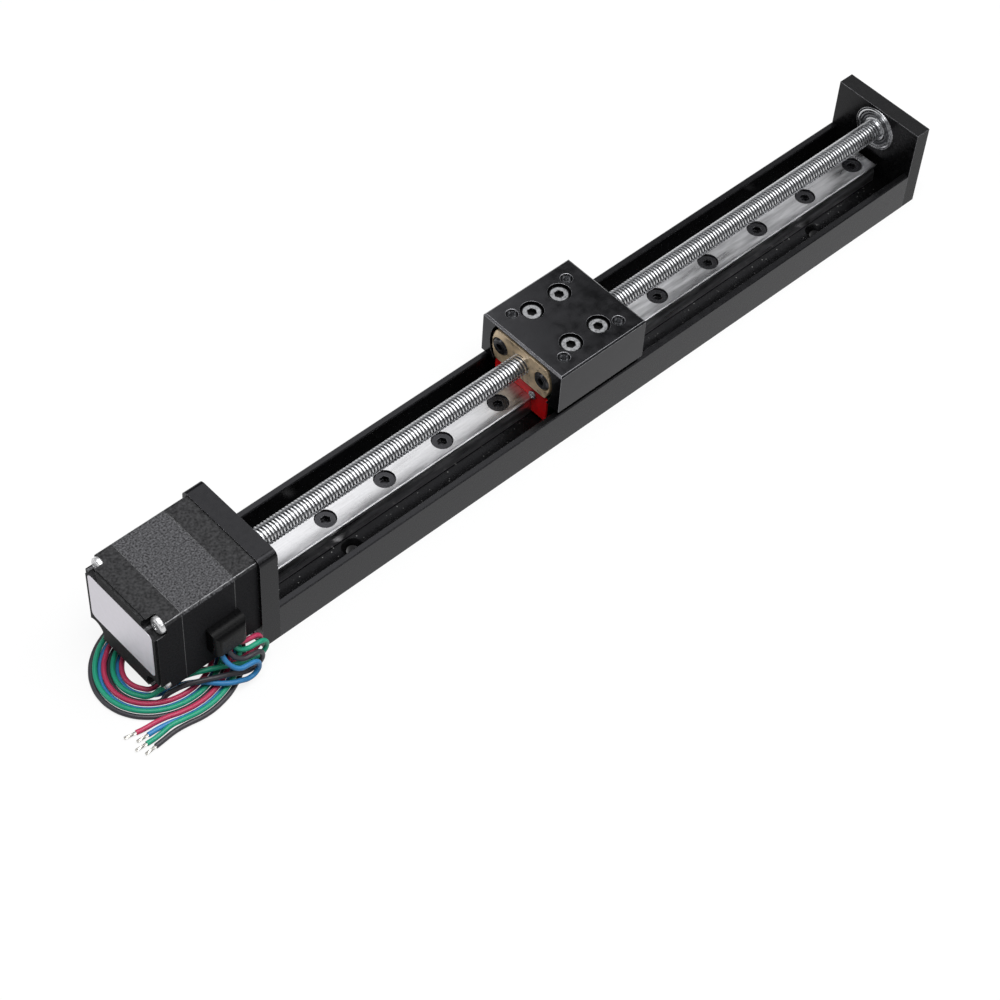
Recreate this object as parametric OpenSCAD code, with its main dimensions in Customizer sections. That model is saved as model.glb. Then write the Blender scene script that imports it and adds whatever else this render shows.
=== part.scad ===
// Lead screw linear module: channel base, miniature guide rail, carriage, trapezoidal
// screw with flanged nut, and a 28 mm stepper motor that drives the screw directly.
// X runs along the screw from motor to end plate, Z is up, and the origin is the middle
// of the underside of the base channel. Millimetres.

/* [Base channel] */
// Length of the channel between the two end plates
base_len = 235; // [215:1:260]
// Width of the channel and of both end plates
base_w = 30; // [29:0.5:34]
// Height of the side walls above the table
wall_h = 12.4; // [11:0.1:13.4]
// Thickness of the side walls
wall_t = 2; // [1.5:0.1:2.4]
// Thickness of the floor
floor_t = 4; // [3.9:0.1:4.4]
// Distance of the mounting holes from the channel's ends
mount_inset = 30; // [20:1:50]
// Spacing of the mounting holes across the channel
mount_pitch_y = 15.5; // [15.4:0.1:17]
// Diameter of the mounting holes
mount_d = 3.4; // [3:0.1:3.6]
// Rim diameter of the mounting holes' countersinks
mount_head_d = 6.1; // [5.5:0.1:6.2]

/* [End plates] */
// Thickness of the plate that carries the motor
motor_plate_t = 5.5; // [5.2:0.1:7]
// Height of the plate that carries the motor
motor_plate_h = 35; // [34.6:0.1:38]
// Thickness of the plate that carries the end bearing
end_plate_t = 5; // [4.8:0.1:7]
// Height of the plate that carries the end bearing
end_plate_h = 28; // [27.5:0.1:32]
// Corner radius at the top of the motor plate
plate_corner = 2; // [1:0.1:3]
// Distance of the plate screws from the middle plane
plate_screw_y = 11; // [10:0.1:11.4]
// Height of the plate screws above the table
plate_screw_z = 2.6; // [2.5:0.05:2.6]

/* [Guide rail] */
// Gap between the guide rail and each end plate
rail_end_gap = 2; // [1:0.5:5]
// Width of the guide rail
rail_w = 9; // [8.8:0.1:9.1]
// Height of the guide rail
rail_h = 6.5; // [6.4:0.1:6.6]
// Hole pitch of the guide rail
rail_pitch = 20; // [15:1:30]
// Distance from the rail's end to its first hole
rail_end = 5.5; // [5:0.5:10]
// Diameter of the rail's counterbores
rail_bore_d = 6; // [5.8:0.1:6.2]
// Depth of the rail's counterbores
rail_bore_h = 3.5; // [3.2:0.1:3.8]

/* [Guide block] */
// Length of the steel body of the guide block
block_len = 18.9; // [17:0.1:21]
// Width of the steel body of the guide block
block_w = 20; // [19:0.5:21]
// Height of the guide block above the rail's underside
block_top = 10; // [9.9:0.1:10.2]
// Gap between the guide block and the channel floor
block_under = 2; // [1.5:0.1:2.3]
// Length of one plastic end cap
cap_len = 4.9; // [4.4:0.1:5.3]
// Thickness of one end seal
seal_t = 0.6; // [0.4:0.1:0.9]
// Diameter of the recirculating balls
ball_d = 1.5; // [1.4:0.05:1.5]

/* [Carriage] */
// Length of the carriage
carriage_len = 31.2; // [30.6:0.1:34]
// Height of the carriage's top face above the table
carriage_top = 27.8; // [27.6:0.1:29]
// Chamfer along the carriage's top edges
carriage_edge = 0.5; // [0.2:0.1:0.8]
// Spacing of the four tapped holes, both ways
tap_pitch = 20; // [20:0.1:21]
// Core diameter of the tapped holes
tap_d = 2.5; // [2.4:0.05:2.6]
// Depth of the tapped holes
tap_depth = 5; // [4:0.1:5.2]
// Spacing along the rail of the screws that hold the guide block
block_bolt_x = 10; // [9.8:0.1:10.4]
// Spacing across the rail of the screws that hold the guide block
block_bolt_y = 15; // [14.8:0.1:15.2]
// Where the carriage stands at rest, from the middle of the channel
carriage_x = -6.9; // [-60:0.1:60]

/* [Screw and nut] */
// Outside diameter of the trapezoidal screw
screw_d = 6; // [5.6:0.1:6]
// Height of the screw's axis above the table
screw_z = 20.5; // [20.4:0.05:20.6]
// Diameter of the nut's flange
nut_flange_d = 22; // [21.5:0.1:22.5]
// Height across the flats of the nut's flange
nut_flats = 11; // [10.8:0.1:11.4]
// Thickness of the nut's flange
nut_flange_t = 3.5; // [3.3:0.1:4]
// Diameter of the nut's sleeve
nut_body_d = 10.2; // [9.8:0.1:10.3]
// Length of the whole nut
nut_len = 16; // [13:0.5:20]
// Pitch circle of the two nut screws
nut_pcd = 16; // [15.9:0.1:16.2]

/* [Motor] */
// Width and height of the motor
motor_w = 28; // [27.6:0.1:28.4]
// Thickness of the motor's screws' heads at its front
motor_head_h = 2.5; // [2.2:0.1:2.6]
// Length of the motor's front cap
front_cap_len = 7; // [6.8:0.1:8]
// Length of the stator stack
stator_len = 16; // [15:0.1:20]
// Length of the motor's rear cap
rear_cap_len = 8; // [7.6:0.1:9]
// Distance of the motor's corner screws from its sides
motor_bolt_inset = 2.5; // [2.4:0.05:2.7]
// Diameter of the motor's centring pilot
pilot_d = 22; // [20:0.1:22.4]
// Height of the centring pilot
pilot_h = 2; // [1.6:0.1:2.2]
// Radius of the motor's long edges
motor_edge = 1.8; // [1.4:0.1:2.2]

/* [Clearances] */
// Radial gap between screw and nut
nut_gap = 0.05; // [0.02:0.01:0.1]
// Gap between a bolt's thread and its hole
thread_gap = 0.02; // [0.01:0.01:0.04]
// Gap between the rail and the pieces that run along it
rail_gap = 0.1; // [0.06:0.01:0.15]
// Radial gap between a ball and its track
ball_gap = 0.05; // [0.03:0.01:0.06]
// Radial gap of a seated ring, sleeve or pilot
seat_gap = 0.01; // [0.01:0.01:0.03]

/* [Hidden] */

$fn = 64;
cut = 1;                                   // how far a cutter stands out of its piece
black = "#2c2c2e";
steel = "#b9bbbf";

// where the main faces are along X
inner_face = -base_len / 2;                // motor plate's face towards the channel
motor_face = inner_face - motor_plate_t;   // motor plate's face towards the motor
stator_front = motor_face - front_cap_len;
stator_rear = stator_front - stator_len;
motor_rear = stator_rear - rear_cap_len;
end_face = base_len / 2;                   // end plate's face towards the channel

rail_len = base_len - 2 * rail_end_gap;
mount_pitch_x = base_len - 2 * mount_inset;
motor_bolt = motor_w - 2 * motor_bolt_inset;

// sizes of screws: radius, head radius, head height
m3 = 1.5;
m3_head = 2.75;
m3_head_h = 3;
m3_hex = 2.5;
m25 = 1.25;
m25_pan = 2.35;
m25_pan_h = 1.5;
m25_hex = 2;
m16 = 0.8;

module x_cylinder(r, from, to) {
    translate([from, 0, 0]) rotate([0, 90, 0]) cylinder(r = r, h = to - from);
}

module x_cone(r1, r2, from, to) {
    translate([from, 0, 0]) rotate([0, 90, 0]) cylinder(r1 = r1, r2 = r2, h = to - from);
}

// extrudes a shape drawn as (y, z) along X
module along_x(from, to) {
    translate([from, 0, 0]) rotate([90, 0, 90]) linear_extrude(to - from) children();
}

// square outline with four round corners
module round_square(w, h, r) {
    square([w - 2 * r, h], center = true);
    square([w, h - 2 * r], center = true);
    for (y = [-1, 1], z = [-1, 1]) translate([y * (w / 2 - r), z * (h / 2 - r)]) circle(r);
}

// hexagon socket across its flats
module hex_socket(flats, depth) {
    cylinder(r = flats / sqrt(3), h = depth + cut, $fn = 6);
}

// socket head cap screw, shank along -Z from the head's seat at z = 0
module cap_screw(r, len, head_r, head_h, hex) {
    difference() {
        union() {
            translate([0, 0, -len]) cylinder(r = r, h = len + head_h / 2);
            cylinder(r = head_r, h = head_h);
        }
        translate([0, 0, head_h * 0.55]) hex_socket(hex, head_h * 0.45);
    }
}

// ---- base channel and plates ----

rail_bottom = floor_t;
rail_top = rail_bottom + rail_h;
rail_count = floor((rail_len - 2 * rail_end) / rail_pitch) + 1;
rail_first = -(rail_count - 1) * rail_pitch / 2;
rail_seat = rail_top - rail_bore_h;
rail_hole_gap = 0.25;                       // gap round a screw in the rail
rail_screw_up = 0.6;                        // screw's tip above the underside of the channel
plate_head = 2.1;                           // countersunk head of a plate screw
plate_head_h = 1.3;
plate_screw_len = 8;                        // depth of its hole in the channel
plate_screw_tip = 1;                        // its tip ends this far above the hole's bottom
plate_hex = 1.5;
plate_hex_h = 0.8;
channel_edge = 0.3;                         // broken edges along the walls' tops
countersink = (mount_head_d - mount_d) / 2;

module at_rail_holes() {
    for (i = [0 : rail_count - 1]) translate([rail_first + i * rail_pitch, 0, 0]) children();
}

module at_mount_holes() {
    for (x = [-1, 1], y = [-1, 1]) translate([x * mount_pitch_x / 2, y * mount_pitch_y / 2, 0]) children();
}

module base_channel() {
    half = base_w / 2;
    color(black) difference() {
        along_x(inner_face, end_face) polygon([
            [-half, 0], [half, 0],
            [half, wall_h - channel_edge], [half - channel_edge, wall_h],
            [half - wall_t + channel_edge, wall_h], [half - wall_t, wall_h - channel_edge],
            [half - wall_t, floor_t], [-half + wall_t, floor_t],
            [-half + wall_t, wall_h - channel_edge], [-half + wall_t - channel_edge, wall_h],
            [-half + channel_edge, wall_h], [-half, wall_h - channel_edge]
        ]);
        at_mount_holes() {
            translate([0, 0, -cut]) cylinder(d = mount_d, h = floor_t + 2 * cut);
            translate([0, 0, floor_t - countersink])
                cylinder(d1 = mount_d, d2 = mount_head_d + 2 * cut, h = countersink + cut);
        }
        at_rail_holes() translate([0, 0, -cut]) cylinder(r = m3 + thread_gap, h = floor_t + 2 * cut);
        for (y = [-1, 1]) translate([0, y * plate_screw_y, plate_screw_z]) {
            x_cylinder(m25 + thread_gap, inner_face - cut, inner_face + plate_screw_len);
            x_cylinder(m25 + thread_gap, end_face - plate_screw_len, end_face + cut);
        }
    }
}

plate_gap = 0.1;                            // gap round a screw in a plate
motor_bore = 14;                            // hole in the motor plate that the screw runs through
motor_head_r = 2.25;
motor_head_sink = motor_head_h + 0.1;
motor_head_gap = 0.15;

module at_motor_corners() {
    for (y = [-1, 1], z = [-1, 1])
        translate([0, y * motor_bolt / 2, screw_z + z * motor_bolt / 2]) children();
}

// hole and countersink of a plate screw whose head is flush at x = 0 and points to +X
module plate_screw_hole(depth) {
    x_cylinder(m25 + plate_gap, -cut, depth + cut);
    x_cone(plate_head + plate_gap + cut, m25 + plate_gap, -cut, plate_head_h + plate_gap);
}

module motor_plate() {
    color(black) difference() {
        along_x(motor_face, inner_face) translate([0, motor_plate_h / 2]) union() {
            round_square(base_w, motor_plate_h, plate_corner);
            translate([0, -motor_plate_h / 4]) square([base_w, motor_plate_h / 2], center = true);
        }
        translate([0, 0, screw_z]) {
            x_cylinder(motor_bore / 2, motor_face - cut, inner_face + cut);
            x_cylinder(pilot_d / 2 + seat_gap, motor_face - cut, motor_face + pilot_h + 0.1);
        }
        at_motor_corners() {
            x_cylinder(m25 + plate_gap, motor_face - cut, inner_face + cut);
            x_cylinder(motor_head_r + motor_head_gap, inner_face - motor_head_sink, inner_face + cut);
        }
        for (y = [-1, 1]) translate([motor_face, y * plate_screw_y, plate_screw_z])
            plate_screw_hole(motor_plate_t);
    }
}

// flanged ball bearing at the far end of the screw
end_bearing_r = 6;
end_bearing_w = 4;
end_flange_r = 6.8;
end_flange_t = 0.8;
end_bearing_proud = 0.2;                    // flange stands this far out of the end plate
end_bearing_from = end_face - end_bearing_proud;
end_bearing_to = end_bearing_from + end_bearing_w;
end_relief_r = 4.4;                         // hole behind the bearing

module end_plate() {
    color(black) difference() {
        along_x(end_face, end_face + end_plate_t) translate([-base_w / 2, 0]) square([base_w, end_plate_h]);
        translate([0, 0, screw_z]) {
            x_cylinder(end_bearing_r + seat_gap, end_face - cut, end_bearing_to);
            x_cylinder(end_flange_r + 0.05, end_face - cut, end_bearing_from + end_flange_t);
            x_cylinder(end_relief_r, end_face, end_face + end_plate_t + cut);
        }
        for (y = [-1, 1]) translate([end_face + end_plate_t, y * plate_screw_y, plate_screw_z])
            mirror([1, 0, 0]) plate_screw_hole(end_plate_t);
    }
}

// countersunk screw with its head flush at x = 0, pointing to +X
module plate_screw(plate_t) {
    difference() {
        union() {
            x_cylinder(m25, plate_head_h / 2, plate_t + plate_screw_len - plate_screw_tip);
            x_cone(plate_head, m25, 0, plate_head_h);
        }
        x_cylinder_hex(plate_hex, -cut, plate_hex_h);
    }
}

module x_cylinder_hex(flats, from, to) {
    translate([from, 0, 0]) rotate([0, 90, 0]) cylinder(r = flats / sqrt(3), h = to - from, $fn = 6);
}

module plate_screws() {
    color("#3a3a3c") for (y = [-1, 1]) translate([0, y * plate_screw_y, plate_screw_z]) {
        translate([motor_face, 0, 0]) plate_screw(motor_plate_t);
        translate([end_face + end_plate_t, 0, 0]) mirror([1, 0, 0]) plate_screw(end_plate_t);
    }
}

// ---- guide rail ----

track_up = 4.6;                             // height of the ball tracks over the rail's underside
track_z = rail_bottom + track_up;
track_y = rail_w / 2 + 0.35;                // ball centres from the middle plane
track_r = ball_d / 2 + ball_gap;
lip_depth = 0.3;                            // relief beside each track
lip_low = 1.15;
lip_flat = 0.6;
rail_edge = 0.25;

// half outline of the rail from bottom to top, each side moved out by grow
function rail_side(grow) = let (s = rail_w / 2 + grow) [
    [s - rail_edge, rail_bottom - (grow > 0 ? rail_h : 0)],
    [s, rail_bottom - (grow > 0 ? rail_h : -rail_edge)],
    [s, track_z - lip_low],
    [s - lip_depth, track_z - lip_flat],
    [s - lip_depth, track_z + lip_flat],
    [s, track_z + lip_low],
    [s, rail_top + grow - rail_edge],
    [s - rail_edge, rail_top + grow]
];

module rail_outline(grow = 0) {
    right = rail_side(grow);
    left = [for (i = [len(right) - 1 : -1 : 0]) [-right[i].x, right[i].y]];
    polygon(concat(right, left));
}

module guide_rail() {
    color(steel) difference() {
        along_x(-rail_len / 2, rail_len / 2) difference() {
            rail_outline();
            for (y = [-1, 1]) translate([y * track_y, track_z]) circle(track_r);
        }
        at_rail_holes() {
            translate([0, 0, rail_bottom - cut]) cylinder(r = m3 + rail_hole_gap, h = rail_h + 2 * cut);
            translate([0, 0, rail_seat]) cylinder(d = rail_bore_d, h = rail_bore_h + cut);
        }
    }
}

module rail_screws() {
    color("#232325") at_rail_holes() translate([0, 0, rail_seat])
        cap_screw(m3, rail_seat - rail_screw_up, m3_head, m3_head_h, m3_hex);
}

// ---- carriage ----

carriage_bottom = rail_bottom + block_top;
carriage_from = carriage_x - carriage_len / 2;
carriage_to = carriage_x + carriage_len / 2;
pocket_gap = 1;
pocket_r = nut_flange_d / 2 + pocket_gap;   // round pocket for the nut's flange
pocket_edge = 0.8;                          // metal left above the pocket
nut_bore_gap = 0.1;
nut_screw_r = m3;
nut_screw_len = 6;
nut_head_r = 2.8;
nut_head_h = 1.65;
nut_head_sink = 1.3;
nut_seat = carriage_from + nut_head_sink;   // seat of the nut screws' heads
block_screw_sink = 0.7;                     // heads lie this far below the top face
block_screw_seat = carriage_top - block_screw_sink - m3_head_h;
block_screw_len = 12;
block_hole_past = 0.6;                      // hole's depth past the screw's tip
block_bore_d = 6.5;
tap_rim = 0.5;                              // countersink at a tapped hole's mouth

module at_block_bolts() {
    for (x = [-1, 1], y = [-1, 1])
        translate([carriage_x + x * block_bolt_x / 2, y * block_bolt_y / 2, 0]) children();
}

module at_taps() {
    for (x = [-1, 1], y = [-1, 1])
        translate([carriage_x + x * tap_pitch / 2, y * tap_pitch / 2, carriage_top]) children();
}

module carriage_block() {
    half = base_w / 2;
    e = carriage_edge;
    color(black) difference() {
        intersection() {
            along_x(carriage_from, carriage_to) polygon([
                [-half, carriage_bottom], [half, carriage_bottom],
                [half, carriage_top - e], [half - e, carriage_top],
                [-half + e, carriage_top], [-half, carriage_top - e]
            ]);
            rotate([90, 0, 0]) translate([0, 0, -half - cut]) linear_extrude(base_w + 2 * cut) polygon([
                [carriage_from, carriage_bottom], [carriage_to, carriage_bottom],
                [carriage_to, carriage_top - e], [carriage_to - e, carriage_top],
                [carriage_from + e, carriage_top], [carriage_from, carriage_top - e]
            ]);
        }
        translate([0, 0, screw_z]) {
            x_cylinder(nut_body_d / 2 + nut_bore_gap, carriage_from - cut, carriage_to + cut);
            for (y = [-1, 1]) translate([0, y * nut_pcd / 2, 0])
                x_cylinder(nut_screw_r + thread_gap, carriage_from, nut_seat + nut_screw_len + 1);
        }
        intersection() {
            translate([0, 0, screw_z]) x_cylinder(pocket_r, carriage_from - cut, carriage_from + nut_flange_t);
            translate([carriage_from - 2 * cut, -half, 0])
                cube([nut_flange_t + 4 * cut, base_w, carriage_top - pocket_edge]);
        }
        at_block_bolts() {
            translate([0, 0, carriage_bottom - cut]) cylinder(r = m3 + 0.2, h = carriage_top);
            translate([0, 0, block_screw_seat]) cylinder(d = block_bore_d, h = carriage_top);
        }
        at_taps() {
            translate([0, 0, -tap_depth]) cylinder(d = tap_d, h = tap_depth + cut);
            translate([0, 0, -tap_rim]) cylinder(d1 = tap_d, d2 = tap_d + 4 * tap_rim, h = 2 * tap_rim);
        }
    }
}

module carriage_screws() {
    color("#d7d9dc") at_block_bolts() translate([0, 0, block_screw_seat])
        cap_screw(m3, block_screw_len, m3_head, m3_head_h, m3_hex);
}

// ---- guide block with its caps, seals and balls ----

block_bottom = rail_bottom + block_under;
block_from = carriage_x - block_len / 2;
block_to = carriage_x + block_len / 2;
channel_half = track_y - ball_gap;          // half width of the block's channel
channel_roof = rail_top + 0.5;
return_y = track_y + 3.05;                  // ball return bores
return_r = ball_d / 2 + ball_gap + 0.05;
turn_r = (return_y - track_y) / 2;          // radius of the turnaround in an end cap
cap_inset = 0.2;                            // a cap is this much smaller than the steel body
cap_screw_y = 5;
cap_screw_z = carriage_bottom - 1.8;
cap_screw_head = 1.35;
cap_screw_head_h = 0.6;
cap_screw_bite = 2;                         // length in the steel body

module channel_outline(inset, half, roof) {
    difference() {
        translate([-block_w / 2 + inset, block_bottom + inset])
            square([block_w - 2 * inset, carriage_bottom - block_bottom - 2 * inset]);
        translate([-half, 0]) square([2 * half, roof]);
    }
}

module guide_block() {
    color("#c6c8cb") difference() {
        along_x(block_from, block_to) difference() {
            translate([-block_w / 2, block_bottom]) square([block_w, carriage_bottom - block_bottom]);
            translate([-channel_half, 0]) square([2 * channel_half, channel_roof]);
            for (y = [-1, 1]) {
                translate([y * track_y, track_z]) circle(track_r);
                translate([y * return_y, track_z]) circle(return_r);
            }
        }
        at_block_bolts() translate([0, 0, block_screw_seat - block_screw_len - block_hole_past])
            cylinder(r = m3 + thread_gap, h = block_top);
        for (y = [-1, 1]) translate([0, y * cap_screw_y, cap_screw_z]) {
            x_cylinder(m16 + thread_gap, block_from - cut, block_from + cap_screw_bite + 0.3);
            x_cylinder(m16 + thread_gap, block_to - cap_screw_bite - 0.3, block_to + cut);
        }
    }
}

// plastic cap at the block's end at x = 0, reaching to +X
module end_cap() {
    color("#1c4a3a") difference() {
        along_x(0, cap_len) channel_outline(cap_inset, channel_half + rail_gap, channel_roof + rail_gap);
        for (y = [-1, 1]) {
            translate([0, y * (track_y + turn_r), track_z]) rotate([0, 0, -90])
                rotate_extrude(angle = 180) translate([turn_r, 0]) circle(return_r);
            translate([0, y * cap_screw_y, cap_screw_z]) x_cylinder(m16 + plate_gap, -cut, cap_len + cut);
        }
    }
}

module end_cap_far() {
    translate([block_to, 0, 0]) end_cap();
}

module end_cap_near_motor() {
    translate([block_from, 0, 0]) mirror([1, 0, 0]) end_cap();
}

// rubber wiper on the cap's outer face at x = 0
module end_seal() {
    seal_reach = 0.6;                       // reaches this far below the steel body
    color("#c01818") difference() {
        along_x(0, seal_t) difference() {
            translate([-block_w / 2, block_bottom - seal_reach])
                square([block_w, carriage_bottom - block_bottom + seal_reach - cap_inset]);
            rail_outline(rail_gap);
        }
        for (y = [-1, 1]) translate([0, y * cap_screw_y, cap_screw_z])
            x_cylinder(m16 + plate_gap, -cut, seal_t + cut);
    }
}

module end_seal_far() {
    translate([block_to + cap_len, 0, 0]) end_seal();
}

module end_seal_near_motor() {
    translate([block_from - cap_len, 0, 0]) mirror([1, 0, 0]) end_seal();
}

// pan head screw whose head lies on the seal at x = 0 and points to -X
module cap_pan_screw() {
    difference() {
        union() {
            x_cylinder(m16, -cap_len - seal_t - cap_screw_bite, cap_screw_head_h / 2);
            x_cylinder(cap_screw_head, 0, cap_screw_head_h);
        }
        for (turn = [0, 90]) rotate([turn, 0, 0])
            translate([cap_screw_head_h * 0.5, -0.8, -0.15]) cube([cut, 1.6, 0.3]);
    }
}

module end_cap_screws() {
    color("#cfd1d4") for (y = [-1, 1]) translate([0, y * cap_screw_y, cap_screw_z]) {
        translate([block_to + cap_len + seal_t, 0, 0]) cap_pan_screw();
        translate([block_from - cap_len - seal_t, 0, 0]) mirror([1, 0, 0]) cap_pan_screw();
    }
}

// point on the closed path of a ball circuit, s from 0 to loop_len, seen from its middle
loop_len = 2 * block_len + 2 * PI * turn_r;
loop_balls = floor(loop_len / (ball_d + 0.12));
half_turn = PI * turn_r;
function on_loop(s) =
    s < block_len ? [s - block_len / 2, -turn_r]
    : s < block_len + half_turn ?
        let (a = (s - block_len) / turn_r * 180 / PI)
        [block_len / 2 + turn_r * sin(a), -turn_r * cos(a)]
    : s < 2 * block_len + half_turn ? [block_len * 1.5 + half_turn - s, turn_r]
    : let (a = (s - 2 * block_len - half_turn) / turn_r * 180 / PI)
        [-block_len / 2 - turn_r * sin(a), turn_r * cos(a)];

module recirculating_balls() {
    color("#e3e5e8") for (side = [-1, 1], i = [0 : loop_balls - 1]) {
        p = on_loop(i * loop_len / loop_balls);
        translate([carriage_x + p.x, side * (track_y + turn_r + p.y), track_z])
            sphere(d = ball_d, $fn = 16);
    }
}

// ---- nut ----

nut_corner = 2.6;

module lead_nut() {
    color("#b99e72") translate([0, 0, screw_z]) difference() {
        union() {
            along_x(carriage_from, carriage_from + nut_flange_t) intersection() {
                circle(d = nut_flange_d);
                round_square(nut_flange_d, nut_flats, nut_corner);
            }
            x_cylinder(nut_body_d / 2, carriage_from, carriage_from + nut_len);
        }
        x_cylinder(screw_d / 2 + nut_gap, carriage_from - cut, carriage_from + nut_len + cut);
        for (y = [-1, 1]) translate([0, y * nut_pcd / 2, 0]) {
            x_cylinder(m3 + plate_gap, carriage_from - cut, carriage_from + nut_flange_t + cut);
            x_cylinder(nut_head_r + plate_gap, carriage_from - cut, nut_seat);
        }
    }
}

module nut_screws() {
    color("#2a2a2c") for (y = [-1, 1]) translate([0, y * nut_pcd / 2, screw_z]) difference() {
        union() {
            x_cylinder(nut_screw_r, nut_seat - nut_head_h / 2, nut_seat + nut_screw_len);
            x_cylinder(nut_head_r, nut_seat - nut_head_h * 0.6, nut_seat);
            x_cone(nut_head_r - 0.6, nut_head_r, nut_seat - nut_head_h, nut_seat - nut_head_h * 0.6);
        }
        x_cylinder_hex(m25_hex, nut_seat - nut_head_h - cut, nut_seat - nut_head_h * 0.25);
    }
}

// ---- motor ----

bearing_w = 4;                              // the two bearings inside the motor
bearing_bore = 2.5;
bearing_r = 5.5;
front_bearing_from = motor_face - 6;
rear_bearing_from = motor_rear + 1.6;
washer_space = 0.5;                         // room for the wave washer in front of the rear cap
air_gap = 0.15;
pole_count = 8;
back_iron = 2.6;
yoke_r = motor_w / 2 - back_iron;           // inside of the stator's back iron
pole_len = 5.05;
rotor_r = yoke_r - pole_len - air_gap;
pole_w = 2.6;
shoe_t = 1;                                 // thickness of a pole's shoe
shoe_angle = 34;
coil_over = 1.8;                            // winding reaches this far past the stack
bobbin_t = 0.4;
coil_t = 0.8;
coil_from = rotor_r + air_gap + shoe_t + 0.3;
coil_to = yoke_r - 0.3;
coil_gap = 0.02;

screw_end = end_bearing_to + 0.6;
screw_thread_from = motor_face + 1;         // where the screw steps down into the motor

module lead_screw() {
    color("#d4d6d9") translate([0, 0, screw_z]) {
        x_cylinder(bearing_bore, rear_bearing_from - 0.3, screw_thread_from);
        x_cylinder(screw_d / 2, screw_thread_from, end_bearing_from - 0.1);
        x_cylinder(screw_d / 2 - seat_gap, end_bearing_from - 0.1, screw_end);
    }
}

module motor_outline() {
    round_square(motor_w, motor_w, motor_edge);
}

module motor_front_cap() {
    color(black) difference() {
        union() {
            along_x(stator_front, motor_face) translate([0, screw_z]) motor_outline();
            translate([0, 0, screw_z]) x_cylinder(pilot_d / 2, motor_face - cut, motor_face + pilot_h);
        }
        translate([0, 0, screw_z]) {
            x_cylinder(coil_to + 0.6, stator_front - cut, stator_front + coil_over + 0.6);
            x_cylinder(bearing_r + seat_gap, stator_front, front_bearing_from + bearing_w);
            x_cylinder(bearing_r - 1, stator_front, motor_face + pilot_h + cut);
        }
        at_motor_corners() x_cylinder(m25 + thread_gap, stator_front - cut, motor_face + cut);
    }
}

module pole_positions() {
    for (i = [0 : pole_count - 1]) rotate([360 / pole_count * i, 0, 0]) children();
}

module stator_core() {
    shoe_in = rotor_r + air_gap;
    color("#6d6d70") difference() {
        along_x(stator_rear, stator_front) translate([0, screw_z]) {
            difference() {
                motor_outline();
                circle(yoke_r);
            }
            difference() {
                union() {
                    for (i = [0 : pole_count - 1]) rotate(360 / pole_count * i)
                        translate([shoe_in, -pole_w / 2]) square([yoke_r - shoe_in + 0.4, pole_w]);
                    for (i = [0 : pole_count - 1]) rotate(360 / pole_count * i) intersection() {
                        circle(shoe_in + shoe_t);
                        polygon([[0, 0],
                            [motor_w, motor_w * tan(-shoe_angle / 2)], [motor_w, motor_w * tan(shoe_angle / 2)]]);
                    }
                }
                circle(shoe_in);
            }
        }
        at_motor_corners() x_cylinder(m25 + plate_gap, stator_rear - cut, stator_front + cut);
    }
}

// rectangular sleeve round a pole that points along +Y, from radius r1 to r2
module pole_sleeve(gap, wall, over, r1, r2) {
    w = pole_w / 2 + gap;
    difference() {
        translate([stator_rear - over, r1, -w - wall]) cube([stator_len + 2 * over, r2 - r1, 2 * (w + wall)]);
        translate([stator_rear - over + wall, r1 - cut, -w])
            cube([stator_len + 2 * over - 2 * wall, r2 - r1 + 2 * cut, 2 * w]);
    }
}

module winding_bobbins() {
    color("#e8e4d8") translate([0, 0, screw_z]) pole_positions()
        pole_sleeve(coil_gap, bobbin_t, bobbin_t + coil_gap, coil_from, coil_to);
}

module stator_windings() {
    outer = bobbin_t + 2 * coil_gap;
    color("#b4602c") translate([0, 0, screw_z]) pole_positions()
        pole_sleeve(outer, coil_t, outer + coil_t, coil_from + 0.3, coil_to - 0.5);
}

notch = 6;                                  // corner pockets of the rear cap
notch_depth = 3.5;
rear_edge = 0.6;                            // broken edge round the motor's back

module motor_rear_cap() {
    notch_floor = motor_rear + notch_depth;
    color(black) difference() {
        union() {
            along_x(motor_rear + rear_edge, stator_rear) translate([0, screw_z]) motor_outline();
            along_x(motor_rear, stator_rear) translate([0, screw_z])
                round_square(motor_w - 2 * rear_edge, motor_w - 2 * rear_edge, motor_edge);
        }
        at_motor_corners() {
            x_cylinder(m25 + plate_gap, motor_rear - cut, stator_rear + cut);
            x_cylinder(notch / 2, motor_rear - cut, notch_floor);
        }
        for (y = [-1, 1], z = [-1, 1])
            translate([motor_rear - cut, y * motor_w / 2 - notch / 2, screw_z + z * motor_w / 2 - notch / 2])
                cube([notch_depth + cut, notch, notch]);
        translate([0, 0, screw_z]) {
            x_cylinder(coil_to + 0.6, stator_rear - coil_over - 0.6, stator_rear + cut);
            x_cylinder(bearing_r + seat_gap, rear_bearing_from - washer_space, stator_rear);
        }
    }
}

motor_screw_len = 6;
through_bite = 3;                           // length of a through screw in the front cap

module motor_mounting_screws() {
    color("#2a2a2c") at_motor_corners() translate([inner_face - motor_head_sink, 0, 0])
        rotate([0, 90, 0]) cap_screw(m25, motor_screw_len, motor_head_r, motor_head_h, m25_hex);
}

module motor_through_screws() {
    seat = motor_rear + notch_depth;
    tip = stator_front + through_bite;
    color("#d7d9dc") at_motor_corners() difference() {
        union() {
            x_cylinder(m25, seat - m25_pan_h / 2, tip);
            x_cylinder(m25_pan, seat - m25_pan_h * 0.7, seat);
            x_cone(m25_pan - 0.6, m25_pan, seat - m25_pan_h, seat - m25_pan_h * 0.7);
        }
        for (turn = [0, 90]) rotate([turn, 0, 0])
            translate([seat - m25_pan_h - cut, -1.2, -0.25]) cube([cut + m25_pan_h * 0.6, 2.4, 0.5]);
    }
}

rotor_gap = 1;                              // magnet between the two toothed cores
rotor_half = (stator_len - 1) / 2;
rotor_mid = (stator_front + stator_rear) / 2;

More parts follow.
